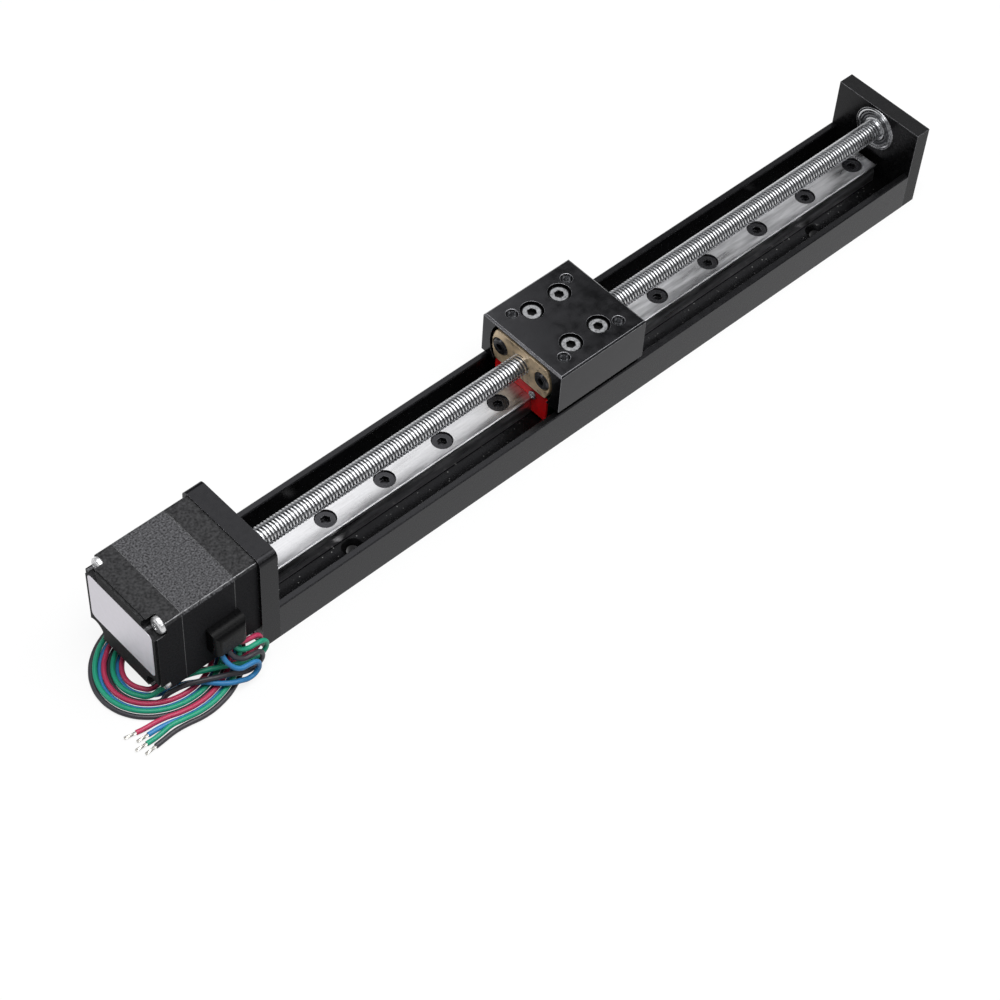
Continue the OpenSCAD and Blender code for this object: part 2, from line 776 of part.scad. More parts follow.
module rotor_ring(r, from, to) {
    difference() {
        x_cylinder(r, from, to);
        x_cylinder(bearing_bore + seat_gap, from - cut, to + cut);
    }
}

module rotor_core_front() {
    color("#8c8c90") translate([0, 0, screw_z]) rotor_ring(rotor_r, rotor_mid + rotor_gap, rotor_mid + rotor_half);
}

module rotor_magnet() {
    color("#55555a") translate([0, 0, screw_z]) rotor_ring(rotor_r - 0.6, rotor_mid - rotor_gap, rotor_mid + rotor_gap);
}

module rotor_core_rear() {
    color("#8c8c90") translate([0, 0, screw_z]) rotor_ring(rotor_r, rotor_mid - rotor_half, rotor_mid - rotor_gap);
}

module wave_washer() {
    color("#b0b2b6") translate([0, 0, screw_z]) difference() {
        x_cylinder(bearing_r - 0.1, rear_bearing_from - washer_space, rear_bearing_from);
        x_cylinder(bearing_r - 1.1, rear_bearing_from - washer_space - cut, rear_bearing_from + cut);
    }
}

// hood over the place where the leads leave the motor
outlet_len = 10;
outlet_past = 0.5;                         // reaches this far over the front cap
outlet_from = stator_front - outlet_len + outlet_past;
outlet_out = 4.2;
outlet_low = 14;
outlet_high = 22;
outlet_round = 3;
outlet_corner = 2;
wire_r = 0.68;
wire_exit_y = -motor_w / 2 - 2.6;
wire_exit_pitch = 1.9;
wire_exit_x = outlet_from + 2.3;

module lead_outlet() {
    side = -motor_w / 2;
    out = side - outlet_out;
    color("#1d1d1f") difference() {
        intersection() {
            translate([outlet_from, 0, 0]) along_x(0, outlet_len) union() {
                translate([out + outlet_round, outlet_low]) square([outlet_out - outlet_round, outlet_high - outlet_low]);
                translate([out, outlet_low]) square([outlet_out, outlet_high - outlet_low - outlet_round]);
                intersection() {
                    translate([out + outlet_round, outlet_high - outlet_round]) circle(outlet_round);
                    translate([out, outlet_low]) square([outlet_out, outlet_high - outlet_low]);
                }
            }
            translate([outlet_from + outlet_len / 2, side, 0])
                linear_extrude(outlet_high + cut) round_square(outlet_len, 2 * outlet_out, outlet_corner);
        }
        for (i = [0 : 3]) translate([wire_exit_x + i * wire_exit_pitch, wire_exit_y, outlet_low - cut])
            cylinder(r = wire_r + 0.03, h = cut + 4);
    }
}

// ---- ball bearings ----

race_ball = 0.8;
race_mid = 4;
race_gap = 0.03;
race_wall = 0.65;                           // from ball centre to the rings' faces
end_ball = 1;
end_mid = 4.5;
end_wall = 0.8;
race_balls = 9;

// plain ring with a ball groove, from x = 0
module race(r_in, r_out, w, mid, ball) {
    rotate([0, 90, 0]) rotate_extrude() difference() {
        translate([r_in, 0]) square([r_out - r_in, w]);
        translate([mid, w / 2]) circle(ball + race_gap);
    }
}

module outer_race() { race(race_mid + race_wall, bearing_r, bearing_w, race_mid, race_ball); }
module inner_race() { race(bearing_bore + seat_gap, race_mid - race_wall, bearing_w, race_mid, race_ball); }

module front_bearing_outer() {
    color(steel) translate([front_bearing_from, 0, screw_z]) outer_race();
}

module front_bearing_inner() {
    color(steel) translate([front_bearing_from, 0, screw_z]) inner_race();
}

module rear_bearing_outer() {
    color(steel) translate([rear_bearing_from, 0, screw_z]) outer_race();
}

module rear_bearing_inner() {
    color(steel) translate([rear_bearing_from, 0, screw_z]) inner_race();
}

module end_bearing_outer() {
    color(steel) translate([end_bearing_from, 0, screw_z]) union() {
        race(end_mid + end_wall, end_bearing_r, end_bearing_w, end_mid, end_ball);
        rotate([0, 90, 0]) difference() {
            cylinder(r = end_flange_r, h = end_flange_t);
            translate([0, 0, -cut]) cylinder(r = (end_bearing_r + end_mid + end_wall) / 2, h = end_flange_t + 2 * cut);
        }
    }
}

module end_bearing_inner() {
    color(steel) translate([end_bearing_from, 0, screw_z])
        race(screw_d / 2, end_mid - end_wall, end_bearing_w, end_mid, end_ball);
}

module end_bearing_shields() {
    shield_t = 0.25;
    color("#9a9ca0") translate([0, 0, screw_z])
        for (x = [end_bearing_from + 0.05, end_bearing_to - shield_t - 0.05]) difference() {
            x_cylinder(end_mid + end_wall - seat_gap, x, x + shield_t);
            x_cylinder(end_mid - end_wall + 0.06, x - cut, x + shield_t + cut);
        }
}

module bearing_balls() {
    color("#e3e5e8") translate([0, 0, screw_z]) for (i = [0 : race_balls - 1]) rotate([360 / race_balls * i, 0, 0]) {
        translate([front_bearing_from + bearing_w / 2, race_mid, 0]) sphere(race_ball);
        translate([rear_bearing_from + bearing_w / 2, race_mid, 0]) sphere(race_ball);
        translate([end_bearing_from + end_bearing_w / 2, end_mid, 0]) sphere(end_ball);
    }
}

// ---- motor leads: two turns of a loose coil that rests on the table ----

// place on the coil, as an oval spiral: turn in degrees, lane 0 outside and 3 inside; every
// other lane lies in the groove between its neighbours
coil_mid = [-144.8, -2.4];
coil_half = [21.5, 19.2];
lanes = 4;
lane_w = 1.1;
lane_low = 0.76;
lane_high = 1.8;
coil_end = -830;
coil_edge = -810;                           // turn at which lane 0 has its full size
function coil_point(turn, lane) =
    let (inset = lane_w * (lanes * (turn - coil_edge) / 360 + lane))
    [coil_mid.x + (coil_half.x - inset) * cos(turn), coil_mid.y + (coil_half.y - inset) * sin(turn),
        lane % 2 == 0 ? lane_low : lane_high];
function coil(lane, start) = [for (turn = [start : -15 : coil_end]) coil_point(turn, lane)];

// each lead: down from the outlet, round a bend, over the coil, and into its lane
red_route = concat([
    [-131.6, -16.6, 14], [-131.3, -16.4, 12.2], [-130.1, -16.1, 10.6],
    [-127.3, -15.9, 9.5], [-125.3, -15.9, 8.7], [-124.5, -15.9, 6.7], [-125.3, -15.9, 4.7], [-127.3, -15.9, 3.9],
    [-131, -16, 3.9], [-135.5, -15, 3.9], [-140, -12.4, 3.9], [-144.4, -9.9, 3.7], [-148.6, -8, 2.8]
], coil(3, -140), [
    [-154.3, -16.5, 1.7], [-157.4, -15.5, 1.1], [-160.4, -15, 0.76], [-162.6, -14.6, 0.76]
]);
green_route = concat([
    [-133.5, -16.6, 14], [-133.2, -16.8, 12], [-131.9, -17.2, 10.1], [-129.6, -17.5, 8.9],
    [-126.8, -17.6, 8.6], [-124.8, -17.6, 7.8], [-124, -17.6, 5.8], [-124.8, -17.6, 3.8], [-126.8, -17.6, 3],
    [-130, -17.6, 3.9], [-133.5, -17, 5], [-137, -15.4, 5.4], [-140.8, -13.6, 5.4], [-144.6, -11.9, 5.2],
    [-148.4, -10.4, 4.2], [-151.6, -9.8, 3]
], coil(1, -140), [
    [-155, -18.95, 1.6], [-158, -18.9, 1], [-160.6, -18.9, 0.76], [-162.6, -18.8, 0.76]
]);
black_route = concat([
    [-135.4, -16.6, 14], [-135.2, -17.2, 12], [-134.2, -18.2, 10], [-132.2, -19, 8.5],
    [-129.4, -19.2, 8], [-127.4, -19.2, 7.2], [-126.6, -19.2, 5.2], [-127.4, -19.2, 3.2], [-129.4, -19.2, 2.4],
    [-132.6, -19.2, 3.3], [-136, -18.6, 5], [-139.4, -17.3, 5.42], [-142.8, -15.6, 5.3], [-146.2, -13.6, 4.5],
    [-149.2, -12, 2.9], [-150.8, -11.35, 1.8]
], coil(0, -125), [
    [-155.4, -20.4, 0.76], [-158.6, -20.6, 0.76], [-161.4, -20.8, 0.76]
]);
blue_route = concat([
    [-137.3, -16.6, 14], [-137.3, -17.6, 12], [-136.6, -19.2, 10], [-134.8, -20.5, 8.3],
    [-131.8, -20.8, 7.7], [-129.8, -20.8, 6.9], [-129, -20.8, 4.9], [-129.8, -20.8, 2.9], [-131.8, -20.8, 2.1],
    [-135, -20.7, 3.4], [-138, -19.6, 4], [-140.6, -17.2, 3.95], [-143, -14.6, 3.75], [-145.6, -12, 2.6],
    [-148.4, -10.2, 1.2]
], coil(2, -125), [
    [-154.6, -17.75, 0.76], [-157.8, -17.2, 0.76], [-160.8, -17, 0.76]
]);

function unit(v) = v / norm(v);
function heading(p, i) = unit(p[min(i + 1, len(p) - 1)] - p[max(i - 1, 0)]);

// octagonal tube along the points
module tube(p, r) {
    sides = 8;
    n = len(p);
    rings = [for (i = [0 : n - 1])
        let (h = heading(p, i), side = unit(cross(h, abs(h.z) > 0.9 ? [0, 1, 0] : [0, 0, 1])), up = cross(side, h))
        for (k = [0 : sides - 1]) p[i] + r * (cos(360 / sides * k) * side + sin(360 / sides * k) * up)];
    walls = [for (i = [0 : n - 2], k = [0 : sides - 1])
        let (a = i * sides + k, b = i * sides + (k + 1) % sides) [a, b, b + sides, a + sides]];
    ends = [[for (k = [sides - 1 : -1 : 0]) k], [for (k = [0 : sides - 1]) (n - 1) * sides + k]];
    polyhedron(points = rings, faces = concat(walls, ends), convexity = 10);
}

module wire_red() { color("#b5304a") tube(red_route, wire_r); }
module wire_green() { color("#1f9a72") tube(green_route, wire_r); }
module wire_black() { color("#2a2a30") tube(black_route, wire_r); }
module wire_blue() { color("#2f7fc4") tube(blue_route, wire_r); }

// tinned end of a lead, level with the table
tip_len = 3.2;
tip_r = 0.4;
tip_gap = 0.08;
module wire_tip(route) {
    end = route[len(route) - 1];
    h = heading(route, len(route) - 1);
    level = unit([h.x, h.y, 0]);
    tube([end + tip_gap * level, end + tip_len * level], tip_r);
}

module wire_tips() {
    color("#c9cbce") for (route = [red_route, green_route, black_route, blue_route]) wire_tip(route);
}

base_channel();
motor_plate();
end_plate();
plate_screws();
guide_rail();
rail_screws();
carriage_block();
carriage_screws();
guide_block();
end_cap_near_motor();
end_cap_far();
end_seal_near_motor();
end_seal_far();
end_cap_screws();
recirculating_balls();
lead_nut();
nut_screws();
lead_screw();
motor_front_cap();
stator_core();
winding_bobbins();
stator_windings();
motor_rear_cap();
motor_mounting_screws();
motor_through_screws();
rotor_core_front();
rotor_magnet();
rotor_core_rear();
wave_washer();
lead_outlet();
front_bearing_outer();
front_bearing_inner();
rear_bearing_outer();
rear_bearing_inner();
end_bearing_outer();
end_bearing_inner();
end_bearing_shields();
bearing_balls();
wire_red();
wire_green();
wire_black();
wire_blue();
wire_tips();
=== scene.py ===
"""Looks of a lead screw linear module: a stepper motor turns a screw, and a nut carries the
carriage along a miniature guide rail in a black channel base. The frame is in metres. The sizes of
pieces are in millimetres, which MM turns into metres, and angles are in degrees."""
import math

import bpy
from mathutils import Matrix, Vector


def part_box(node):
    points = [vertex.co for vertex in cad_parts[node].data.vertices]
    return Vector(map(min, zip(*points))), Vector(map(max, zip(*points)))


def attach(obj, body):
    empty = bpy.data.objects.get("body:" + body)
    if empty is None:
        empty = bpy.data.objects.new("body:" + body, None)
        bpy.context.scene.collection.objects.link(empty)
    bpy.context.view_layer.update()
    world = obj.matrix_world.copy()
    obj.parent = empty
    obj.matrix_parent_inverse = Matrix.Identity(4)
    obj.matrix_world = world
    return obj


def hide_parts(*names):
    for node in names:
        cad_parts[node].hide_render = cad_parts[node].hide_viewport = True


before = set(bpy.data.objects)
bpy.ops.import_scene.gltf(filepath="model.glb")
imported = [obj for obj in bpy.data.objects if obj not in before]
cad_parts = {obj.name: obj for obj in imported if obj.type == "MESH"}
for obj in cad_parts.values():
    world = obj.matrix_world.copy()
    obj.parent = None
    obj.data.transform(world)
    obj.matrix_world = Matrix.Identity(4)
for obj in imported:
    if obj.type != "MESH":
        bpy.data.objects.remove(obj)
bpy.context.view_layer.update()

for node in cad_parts.values():
    node.select_set(False)

MM = 0.001

# ---- camera --------------------------------------------------------------------------------
# A long lens looks down from the motor's end, over the near wall of the channel.
camera = bpy.data.objects.new("camera", bpy.data.cameras.new("camera"))
bpy.context.collection.objects.link(camera)
camera.location = (-0.34435, -0.30617, 0.52183)
camera.rotation_euler = [math.radians(a) for a in (38.3642, -2.6703, -42.7085)]
camera.data.lens = 91.16
bpy.context.scene.camera = camera

# ---- motor leads ---------------------------------------------------------------------------
# Four thin insulated wires leave the hood on the motor's side, bend over and lie on the table
# in two loose turns. Their ends are stripped and tinned.
COIL_MID = (-144.8, -2.4)
COIL_HALF = (21.5, 19.2)
COIL_FULL = -810
COIL_LAST = -830
COIL_STEP = 15
LANES = 4
LANE = 1.1
LANE_LOW = 0.76
LANE_HIGH = 1.8
WIRE_D = 1.36
PVC_GLOSS = 0.42
PVC_DRIFT = 6


def coil(lane, start):
    """Nearly two turns of an oval spiral from an angle to COIL_LAST. It grows as it goes, and lane
    0 has its full size at COIL_FULL. Lane 0 is outside and 3 inside, and the lanes lie at two
    heights in turn."""
    points = []
    for turn in range(start, COIL_LAST - 1, -COIL_STEP):
        inset = LANE * (LANES * (turn - COIL_FULL) / 360 + lane)
        x = COIL_MID[0] + (COIL_HALF[0] - inset) * math.cos(math.radians(turn))
        y = COIL_MID[1] + (COIL_HALF[1] - inset) * math.sin(math.radians(turn))
        points.append((x, y, LANE_LOW if lane % 2 == 0 else LANE_HIGH))
    return points


ROUTES = {
    "red": [
        (-131.6, -16.6, 14), (-131.3, -16.4, 12.2), (-130.1, -16.1, 10.6), (-127.3, -15.9, 9.5),
        (-125.3, -15.9, 8.7), (-124.5, -15.9, 6.7), (-125.3, -15.9, 4.7), (-127.3, -15.9, 3.9),
        (-131, -16, 3.9), (-135.5, -15, 3.9), (-140, -12.4, 3.9), (-144.4, -9.9, 3.7),
        (-148.6, -8, 2.8),
        *coil(3, -140),
        (-154.3, -16.5, 1.7), (-157.4, -15.5, 1.1), (-160.4, -15, 0.76), (-162.6, -14.6, 0.76),
    ],
    "green": [
        (-133.5, -16.6, 14), (-133.2, -16.8, 12), (-131.9, -17.2, 10.1), (-129.6, -17.5, 8.9),
        (-126.8, -17.6, 8.6), (-124.8, -17.6, 7.8), (-124, -17.6, 5.8), (-124.8, -17.6, 3.8),
        (-126.8, -17.6, 3), (-130, -17.6, 3.9), (-133.5, -17, 5), (-137, -15.4, 5.4),
        (-140.8, -13.6, 5.4), (-144.6, -11.9, 5.2), (-148.4, -10.4, 4.2), (-151.6, -9.8, 3),
        *coil(1, -140),
        (-155, -18.95, 1.6), (-158, -18.9, 1), (-160.6, -18.9, 0.76), (-162.6, -18.8, 0.76),
    ],
    "black": [
        (-135.4, -16.6, 14), (-135.2, -17.2, 12), (-134.2, -18.2, 10), (-132.2, -19, 8.5),
        (-129.4, -19.2, 8), (-127.4, -19.2, 7.2), (-126.6, -19.2, 5.2), (-127.4, -19.2, 3.2),
        (-129.4, -19.2, 2.4), (-132.6, -19.2, 3.3), (-136, -18.6, 5), (-139.4, -17.3, 5.42),
        (-142.8, -15.6, 5.3), (-146.2, -13.6, 4.5), (-149.2, -12, 2.9), (-150.8, -11.35, 1.8),
        *coil(0, -125),
        (-155.4, -20.4, 0.76), (-158.6, -20.6, 0.76), (-161.4, -20.8, 0.76),
    ],
    "blue": [
        (-137.3, -16.6, 14), (-137.3, -17.6, 12), (-136.6, -19.2, 10), (-134.8, -20.5, 8.3),
        (-131.8, -20.8, 7.7), (-129.8, -20.8, 6.9), (-129, -20.8, 4.9), (-129.8, -20.8, 2.9),
        (-131.8, -20.8, 2.1), (-135, -20.7, 3.4), (-138, -19.6, 4), (-140.6, -17.2, 3.95),
        (-143, -14.6, 3.75), (-145.6, -12, 2.6), (-148.4, -10.2, 1.2),
        *coil(2, -125),
        (-154.6, -17.75, 0.76), (-157.8, -17.2, 0.76), (-160.8, -17, 0.76),
    ],
}
LEAD_COLOUR = {"red": "#b9355a", "green": "#199a78", "black": "#37353b", "blue": "#2f7fb8"}


def linear(hex_colour):
    """An sRGB hex colour as the linear colour that a shader takes."""
    channels = [int(hex_colour[i:i + 2], 16) / 255 for i in (1, 3, 5)]
    return [c / 12.92 if c <= 0.04045 else ((c + 0.055) / 1.055) ** 2.4 for c in channels] + [1]


def add_node(material, kind, settings=None, links=None):
    """Adds a shader node: settings go to its inputs or properties, links to its inputs."""
    node = material.node_tree.nodes.new(kind)
    for key, value in (settings or {}).items():
        if isinstance(key, str) and hasattr(node, key):
            setattr(node, key, value)
        else:
            node.inputs[key].default_value = value
    for key, socket in (links or {}).items():
        material.node_tree.links.new(socket, node.inputs[key])
    return node


def new_material(name, colour, roughness, metallic=0.0):
    """A material with its main shader set; returns it with that shader."""
    material = bpy.data.materials.new(name)
    material.use_nodes = True
    shader = material.node_tree.nodes["Principled BSDF"]
    shader.inputs["Base Color"].default_value = linear(colour)
    shader.inputs["Roughness"].default_value = roughness
    shader.inputs["Metallic"].default_value = metallic
    return material, shader


def grain_scale(size_mm):
    """Noise scale whose blobs measure about size_mm on Object coordinates in metres."""
    return 1 / (size_mm * MM)


def insulation(name, colour):
    """Extruded PVC insulation: dyed right through, with a soft sheen and a tone that drifts every
    few millimetres, as the melt does along the wire."""
    material, shader = new_material(name, colour, PVC_GLOSS)
    place = add_node(material, "ShaderNodeTexCoord")
    drift = add_node(material, "ShaderNodeTexNoise",
                     {"Scale": grain_scale(PVC_DRIFT), "Detail": 2.0},
                     {"Vector": place.outputs["Object"]})
    tone = add_node(material, "ShaderNodeHueSaturation", {"Color": linear(colour)})
    level = add_node(material, "ShaderNodeMapRange", {"To Min": 0.86, "To Max": 1.16},
                     {"Value": drift.outputs["Fac"]})
    material.node_tree.links.new(level.outputs["Result"], tone.inputs["Value"])
    material.node_tree.links.new(tone.outputs["Color"], shader.inputs["Base Color"])
    return material


TIN_LUMP = 0.5
TIN_RELIEF = 0.1


def tinned_copper():
    """Copper strands dipped in solder: bright tin with a lumpy skin. The real lumps are finer than
    TIN_LUMP and are drawn that coarse so that they show."""
    material, shader = new_material("tinned_copper_strands", "#c9c7c2", 0.34, 1.0)
    place = add_node(material, "ShaderNodeTexCoord")
    lumps = add_node(material, "ShaderNodeTexNoise", {"Scale": grain_scale(TIN_LUMP)},
                     {"Vector": place.outputs["Object"]})
    bump = add_node(material, "ShaderNodeBump", {"Strength": 0.4, "Distance": TIN_RELIEF * MM},
                    {"Height": lumps.outputs["Fac"]})
    material.node_tree.links.new(bump.outputs["Normal"], shader.inputs["Normal"])
    return material


TIP_D = 0.8
TIP_VALLEY = 0.8
TIP_LEN = 3.2
TIP_TWIST = 72
TIP_STEPS = 8
STRANDS = 7
tin = tinned_copper()


def wire_tip(name, end, direction):
    """Strands twisted together: a lobed rod that turns as it goes. Every fourth point round it lies
    in the valley between two strands."""
    bpy.ops.mesh.primitive_circle_add(vertices=4 * STRANDS, radius=TIP_D / 2 * MM, fill_type="NGON")
    tip = bpy.context.object
    tip.name = name
    for vertex in tip.data.vertices:
        if vertex.index % 4 == 0:
            vertex.co *= TIP_VALLEY
    bpy.ops.object.mode_set(mode="EDIT")
    bpy.ops.mesh.select_all(action="SELECT")
    for _ in range(TIP_STEPS):
        bpy.ops.mesh.extrude_region_move(
            TRANSFORM_OT_translate={"value": (0, 0, TIP_LEN / TIP_STEPS * MM)})
        bpy.ops.transform.rotate(value=math.radians(TIP_TWIST / TIP_STEPS), orient_axis="Z",
                                 center_override=(0, 0, 0))
    bpy.ops.mesh.select_all(action="SELECT")
    bpy.ops.mesh.normals_make_consistent(inside=False)
    bpy.ops.object.mode_set(mode="OBJECT")
    tip.rotation_mode = "QUATERNION"
    tip.rotation_quaternion = direction.to_track_quat("Z", "Y")
    tip.location = end
    bpy.ops.object.transform_apply(location=True, rotation=True, scale=True)
    tip.data.materials.append(tin)
    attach(tip, "frame")
    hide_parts("wire_tips")
    tip.select_set(False)
    return tip


for colour_name, route in ROUTES.items():
    data = bpy.data.curves.new(f"lead_{colour_name}", "CURVE")
    data.dimensions = "3D"
    spline = data.splines.new("BEZIER")
    spline.bezier_points.add(len(route) - 1)
    for point, place in zip(spline.bezier_points, route):
        point.co = Vector(place) * MM
        point.handle_left_type = point.handle_right_type = "AUTO"
    spline.resolution_u = 4
    data.bevel_depth = WIRE_D / 2 * MM
    data.bevel_resolution = 4
    data.use_fill_caps = True
    data.materials.append(insulation(f"pvc_insulation_{colour_name}", LEAD_COLOUR[colour_name]))
    lead = bpy.data.objects.new(f"lead_{colour_name}", data)
    bpy.context.collection.objects.link(lead)
    run = (Vector(route[-1]) - Vector(route[-2])).normalized()
    run.z = 0
    tip = wire_tip(f"tinned_end_{colour_name}", Vector(route[-1]) * MM, run.normalized())
    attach(lead, "frame")
    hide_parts(f"wire_{colour_name}")

# ---- channel base --------------------------------------------------------------------------
# One extruded and milled aluminium channel, black anodised. Its walls stand beside the rail,
# and its floor carries the rail's screws and four countersunk mounting holes.
WELD = 0.002
FLAT = 1
SHARP = 40
SMOOTH = 35
NOISE_LOW = 0.3
NOISE_HIGH = 0.7


def finish(name, colour, roughness, metallic=0.0, grain=0.3, tone=0.1, gloss=0.08, relief=0.0,
           stretch=(1, 1, 1), detail=4.0):
    """A skin whose colour, gloss and height vary with a grain of that size. Nearly all of a noise
    lies between NOISE_LOW and NOISE_HIGH."""
    material, shader = new_material(name, colour, roughness, metallic)
    place = add_node(material, "ShaderNodeTexCoord")
    axes = add_node(material, "ShaderNodeMapping", {"Scale": stretch},
                    {"Vector": place.outputs["Object"]})
    noise = add_node(material, "ShaderNodeTexNoise",
                     {"Scale": grain_scale(grain), "Detail": detail},
                     {"Vector": axes.outputs["Vector"]})
    level = add_node(material, "ShaderNodeMapRange",
                     {"From Min": NOISE_LOW, "From Max": NOISE_HIGH,
                      "To Min": 1 - tone, "To Max": 1 + tone}, {"Value": noise.outputs["Fac"]})
    shade = add_node(material, "ShaderNodeHueSaturation", {"Color": linear(colour)},
                     {"Value": level.outputs["Result"]})
    shine = add_node(material, "ShaderNodeMapRange",
                     {"From Min": NOISE_LOW, "From Max": NOISE_HIGH,
                      "To Min": roughness - gloss, "To Max": roughness + gloss},
                     {"Value": noise.outputs["Fac"]})
    material.node_tree.links.new(shade.outputs["Color"], shader.inputs["Base Color"])
    material.node_tree.links.new(shine.outputs["Result"], shader.inputs["Roughness"])
    if relief:
        bump = add_node(material, "ShaderNodeBump", {"Distance": relief * MM},
                        {"Height": noise.outputs["Fac"]})
        material.node_tree.links.new(bump.outputs["Normal"], shader.inputs["Normal"])
    return material


def softened(node, name, body, material, edge, edge_material=None):
    """A copy of a solid that stands for it, with small rounded edges. Points within WELD merge and
    faces within FLAT of each other join; edges sharper than SHARP are rounded to the edge's width,
    and can have a finish of their own; what turns less than SMOOTH is shaded as one."""
    copy = bpy.data.objects.new(name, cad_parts[node].data.copy())
    bpy.context.collection.objects.link(copy)
    bpy.context.view_layer.objects.active = copy
    copy.select_set(True)
    bpy.ops.object.mode_set(mode="EDIT")
    bpy.ops.mesh.select_all(action="SELECT")
    bpy.ops.mesh.remove_doubles(threshold=WELD * MM)
    bpy.ops.mesh.dissolve_limited(angle_limit=math.radians(FLAT))
    bpy.ops.object.mode_set(mode="OBJECT")
    copy.data.materials.clear()
    copy.data.materials.append(material)
    for polygon in copy.data.polygons:
        polygon.material_index = 0
    round_edge = copy.modifiers.new("round_edge", "BEVEL")
    if edge_material:
        copy.data.materials.append(edge_material)
        round_edge.material = 1
    round_edge.width = edge * MM
    round_edge.segments = 2
    round_edge.limit_method = "ANGLE"
    round_edge.angle_limit = math.radians(SHARP)
    bpy.ops.object.modifier_apply(modifier="round_edge")
    bpy.ops.object.shade_smooth_by_angle(angle=math.radians(SMOOTH))
    even = copy.modifiers.new("even_normals", "WEIGHTED_NORMAL")
    even.keep_sharp = True
    bpy.ops.object.modifier_apply(modifier="even_normals")
    copy.select_set(False)
    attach(copy, body)
    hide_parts(node)
    return copy


# Extruded aluminium, dyed black after anodising: a dark metal that mirrors pale things softly, in
# patches of a few millimetres. They stand for die lines too fine to show.
anodised_channel = finish("black_anodised_extrusion", "#2c2c2e", 0.28, 0.88, grain=2.5, tone=0.08,
                          gloss=0.04, relief=0.003, detail=6.0)
# The channel's corners are broken and coloured near black along them: a thin, dull line of
# painted shade.
edge_shade = finish("painted_shade_anodised_edge", "#0b0b0c", 0.42, 0.5, grain=1.2, tone=0.3)
# The rounded edges are coloured as paler metal in short lengths: a painted highlight for the
# glint of the chamfers.
edge_highlight = finish("painted_highlight_anodised_edge", "#848487", 0.30, 0.9, grain=1.2, tone=0.35)

DUST_NEAR = 0.05
DUST_FAR = 0.13
DUST_COVER = 0.9
FLOOR_SHADE_TONE = 0.4
FLOOR_TOP = 4.1
FLOOR_HALF = 14.4


def dusty_shaded_floor(material, top, half, spacing, colour):
    """Darkens a skin below a height and within a half width, a painted shade on the channel's
    recessed floor, and strews sparse pale specks of dust there. DUST_NEAR and DUST_FAR are a
    speck's full and fading radius, as shares of the spacing."""
    shader = material.node_tree.nodes["Principled BSDF"]
    place = add_node(material, "ShaderNodeTexCoord")
    axes = add_node(material, "ShaderNodeSeparateXYZ", None, {"Vector": place.outputs["Object"]})
    across = add_node(material, "ShaderNodeMath", {"operation": "ABSOLUTE"}, {0: axes.outputs["Y"]})
    inside = add_node(material, "ShaderNodeMath", {"operation": "LESS_THAN", 1: half * MM},
                      {0: across.outputs[0]})
    low = add_node(material, "ShaderNodeMath", {"operation": "LESS_THAN", 1: top * MM},
                   {0: axes.outputs["Z"]})
    floor = add_node(material, "ShaderNodeMath", {"operation": "MULTIPLY"},
                     {0: inside.outputs[0], 1: low.outputs[0]})
    cells = add_node(material, "ShaderNodeTexVoronoi", {"Scale": grain_scale(spacing)},
                     {"Vector": place.outputs["Object"]})
    speck = add_node(material, "ShaderNodeMapRange",
                     {"From Min": DUST_NEAR, "From Max": DUST_FAR,
                      "To Min": DUST_COVER, "To Max": 0.0},
                     {"Value": cells.outputs["Distance"]})
    lying = add_node(material, "ShaderNodeMath", {"operation": "MULTIPLY"},
                     {0: speck.outputs["Result"], 1: floor.outputs[0]})
    floor_shade = add_node(material, "ShaderNodeMapRange", {"To Min": 1.0, "To Max": FLOOR_SHADE_TONE},
                   {"Value": floor.outputs[0]})
    skin = shader.inputs["Base Color"].links[0].from_socket
    shaded_skin = add_node(material, "ShaderNodeHueSaturation", None,
                     {"Color": skin, "Value": floor_shade.outputs["Result"]})
    mix = add_node(material, "ShaderNodeMixRGB", {"Color2": linear(colour)},
                   {"Fac": lying.outputs[0], "Color1": shaded_skin.outputs["Color"]})
    material.node_tree.links.new(mix.outputs["Color"], shader.inputs["Base Color"])


# The channel's floor gets painted shade and a strewing of dust specks.
dusty_shaded_floor(anodised_channel, FLOOR_TOP, FLOOR_HALF, spacing=1.5, colour="#8f8f8c")
softened("base_channel", "channel_base", "frame", anodised_channel,
         edge=0.22, edge_material=edge_shade)

# ---- plates at the two ends ----------------------------------------------------------------
# Milled aluminium plates, black anodised, held to the channel's ends by countersunk screws.
# The tall one carries the motor, the low one the screw's far bearing.


def quiet_grazing(material, level):
    """Tints a metal's reflection at low angles, where anodising stays darker than bare metal."""
    tint = material.node_tree.nodes["Principled BSDF"].inputs["Specular Tint"]
    tint.default_value = (level, level, level, 1)


# Milled plate, blasted fine and anodised black: an even satin. The end plate is coloured a
# little lighter than the motor's, and both are matt at low angles.
anodised_plate = finish("black_anodised_plate", "#29292b", 0.28, 0.88, grain=1.5, tone=0.12,
                        relief=0.002)
softened("motor_plate", "plate_motor", "frame", anodised_plate,
         edge=0.2, edge_material=edge_highlight)
anodised_end = finish("black_anodised_end_plate", "#303031", 0.28, 0.88, grain=1.5, tone=0.12,
                      relief=0.002)
quiet_grazing(anodised_plate, 0.85)
quiet_grazing(anodised_end, 0.7)
softened("end_plate", "plate_far_end", "frame", anodised_end,
         edge=0.2, edge_material=edge_highlight)

# Hardened steel screws blackened in a hot oxide bath: dark grey with a satin shine, mottled by oil,
# with a painted highlight on the rims and painted shade, nearly black, inside the sockets.
black_oxide = finish("black_oxide_steel", "#3e3e41", 0.30, 0.85, grain=0.3, tone=0.2, relief=0.003)
oxide_rim_highlight = finish("painted_highlight_black_oxide", "#7b7b7e", 0.28, 0.9, grain=0.4, tone=0.3)
socket_shade = finish("painted_shade_socket", "#111112", 0.35, 0.4, grain=0.2, tone=0.2)

SOCKET_MARGIN = 1.02


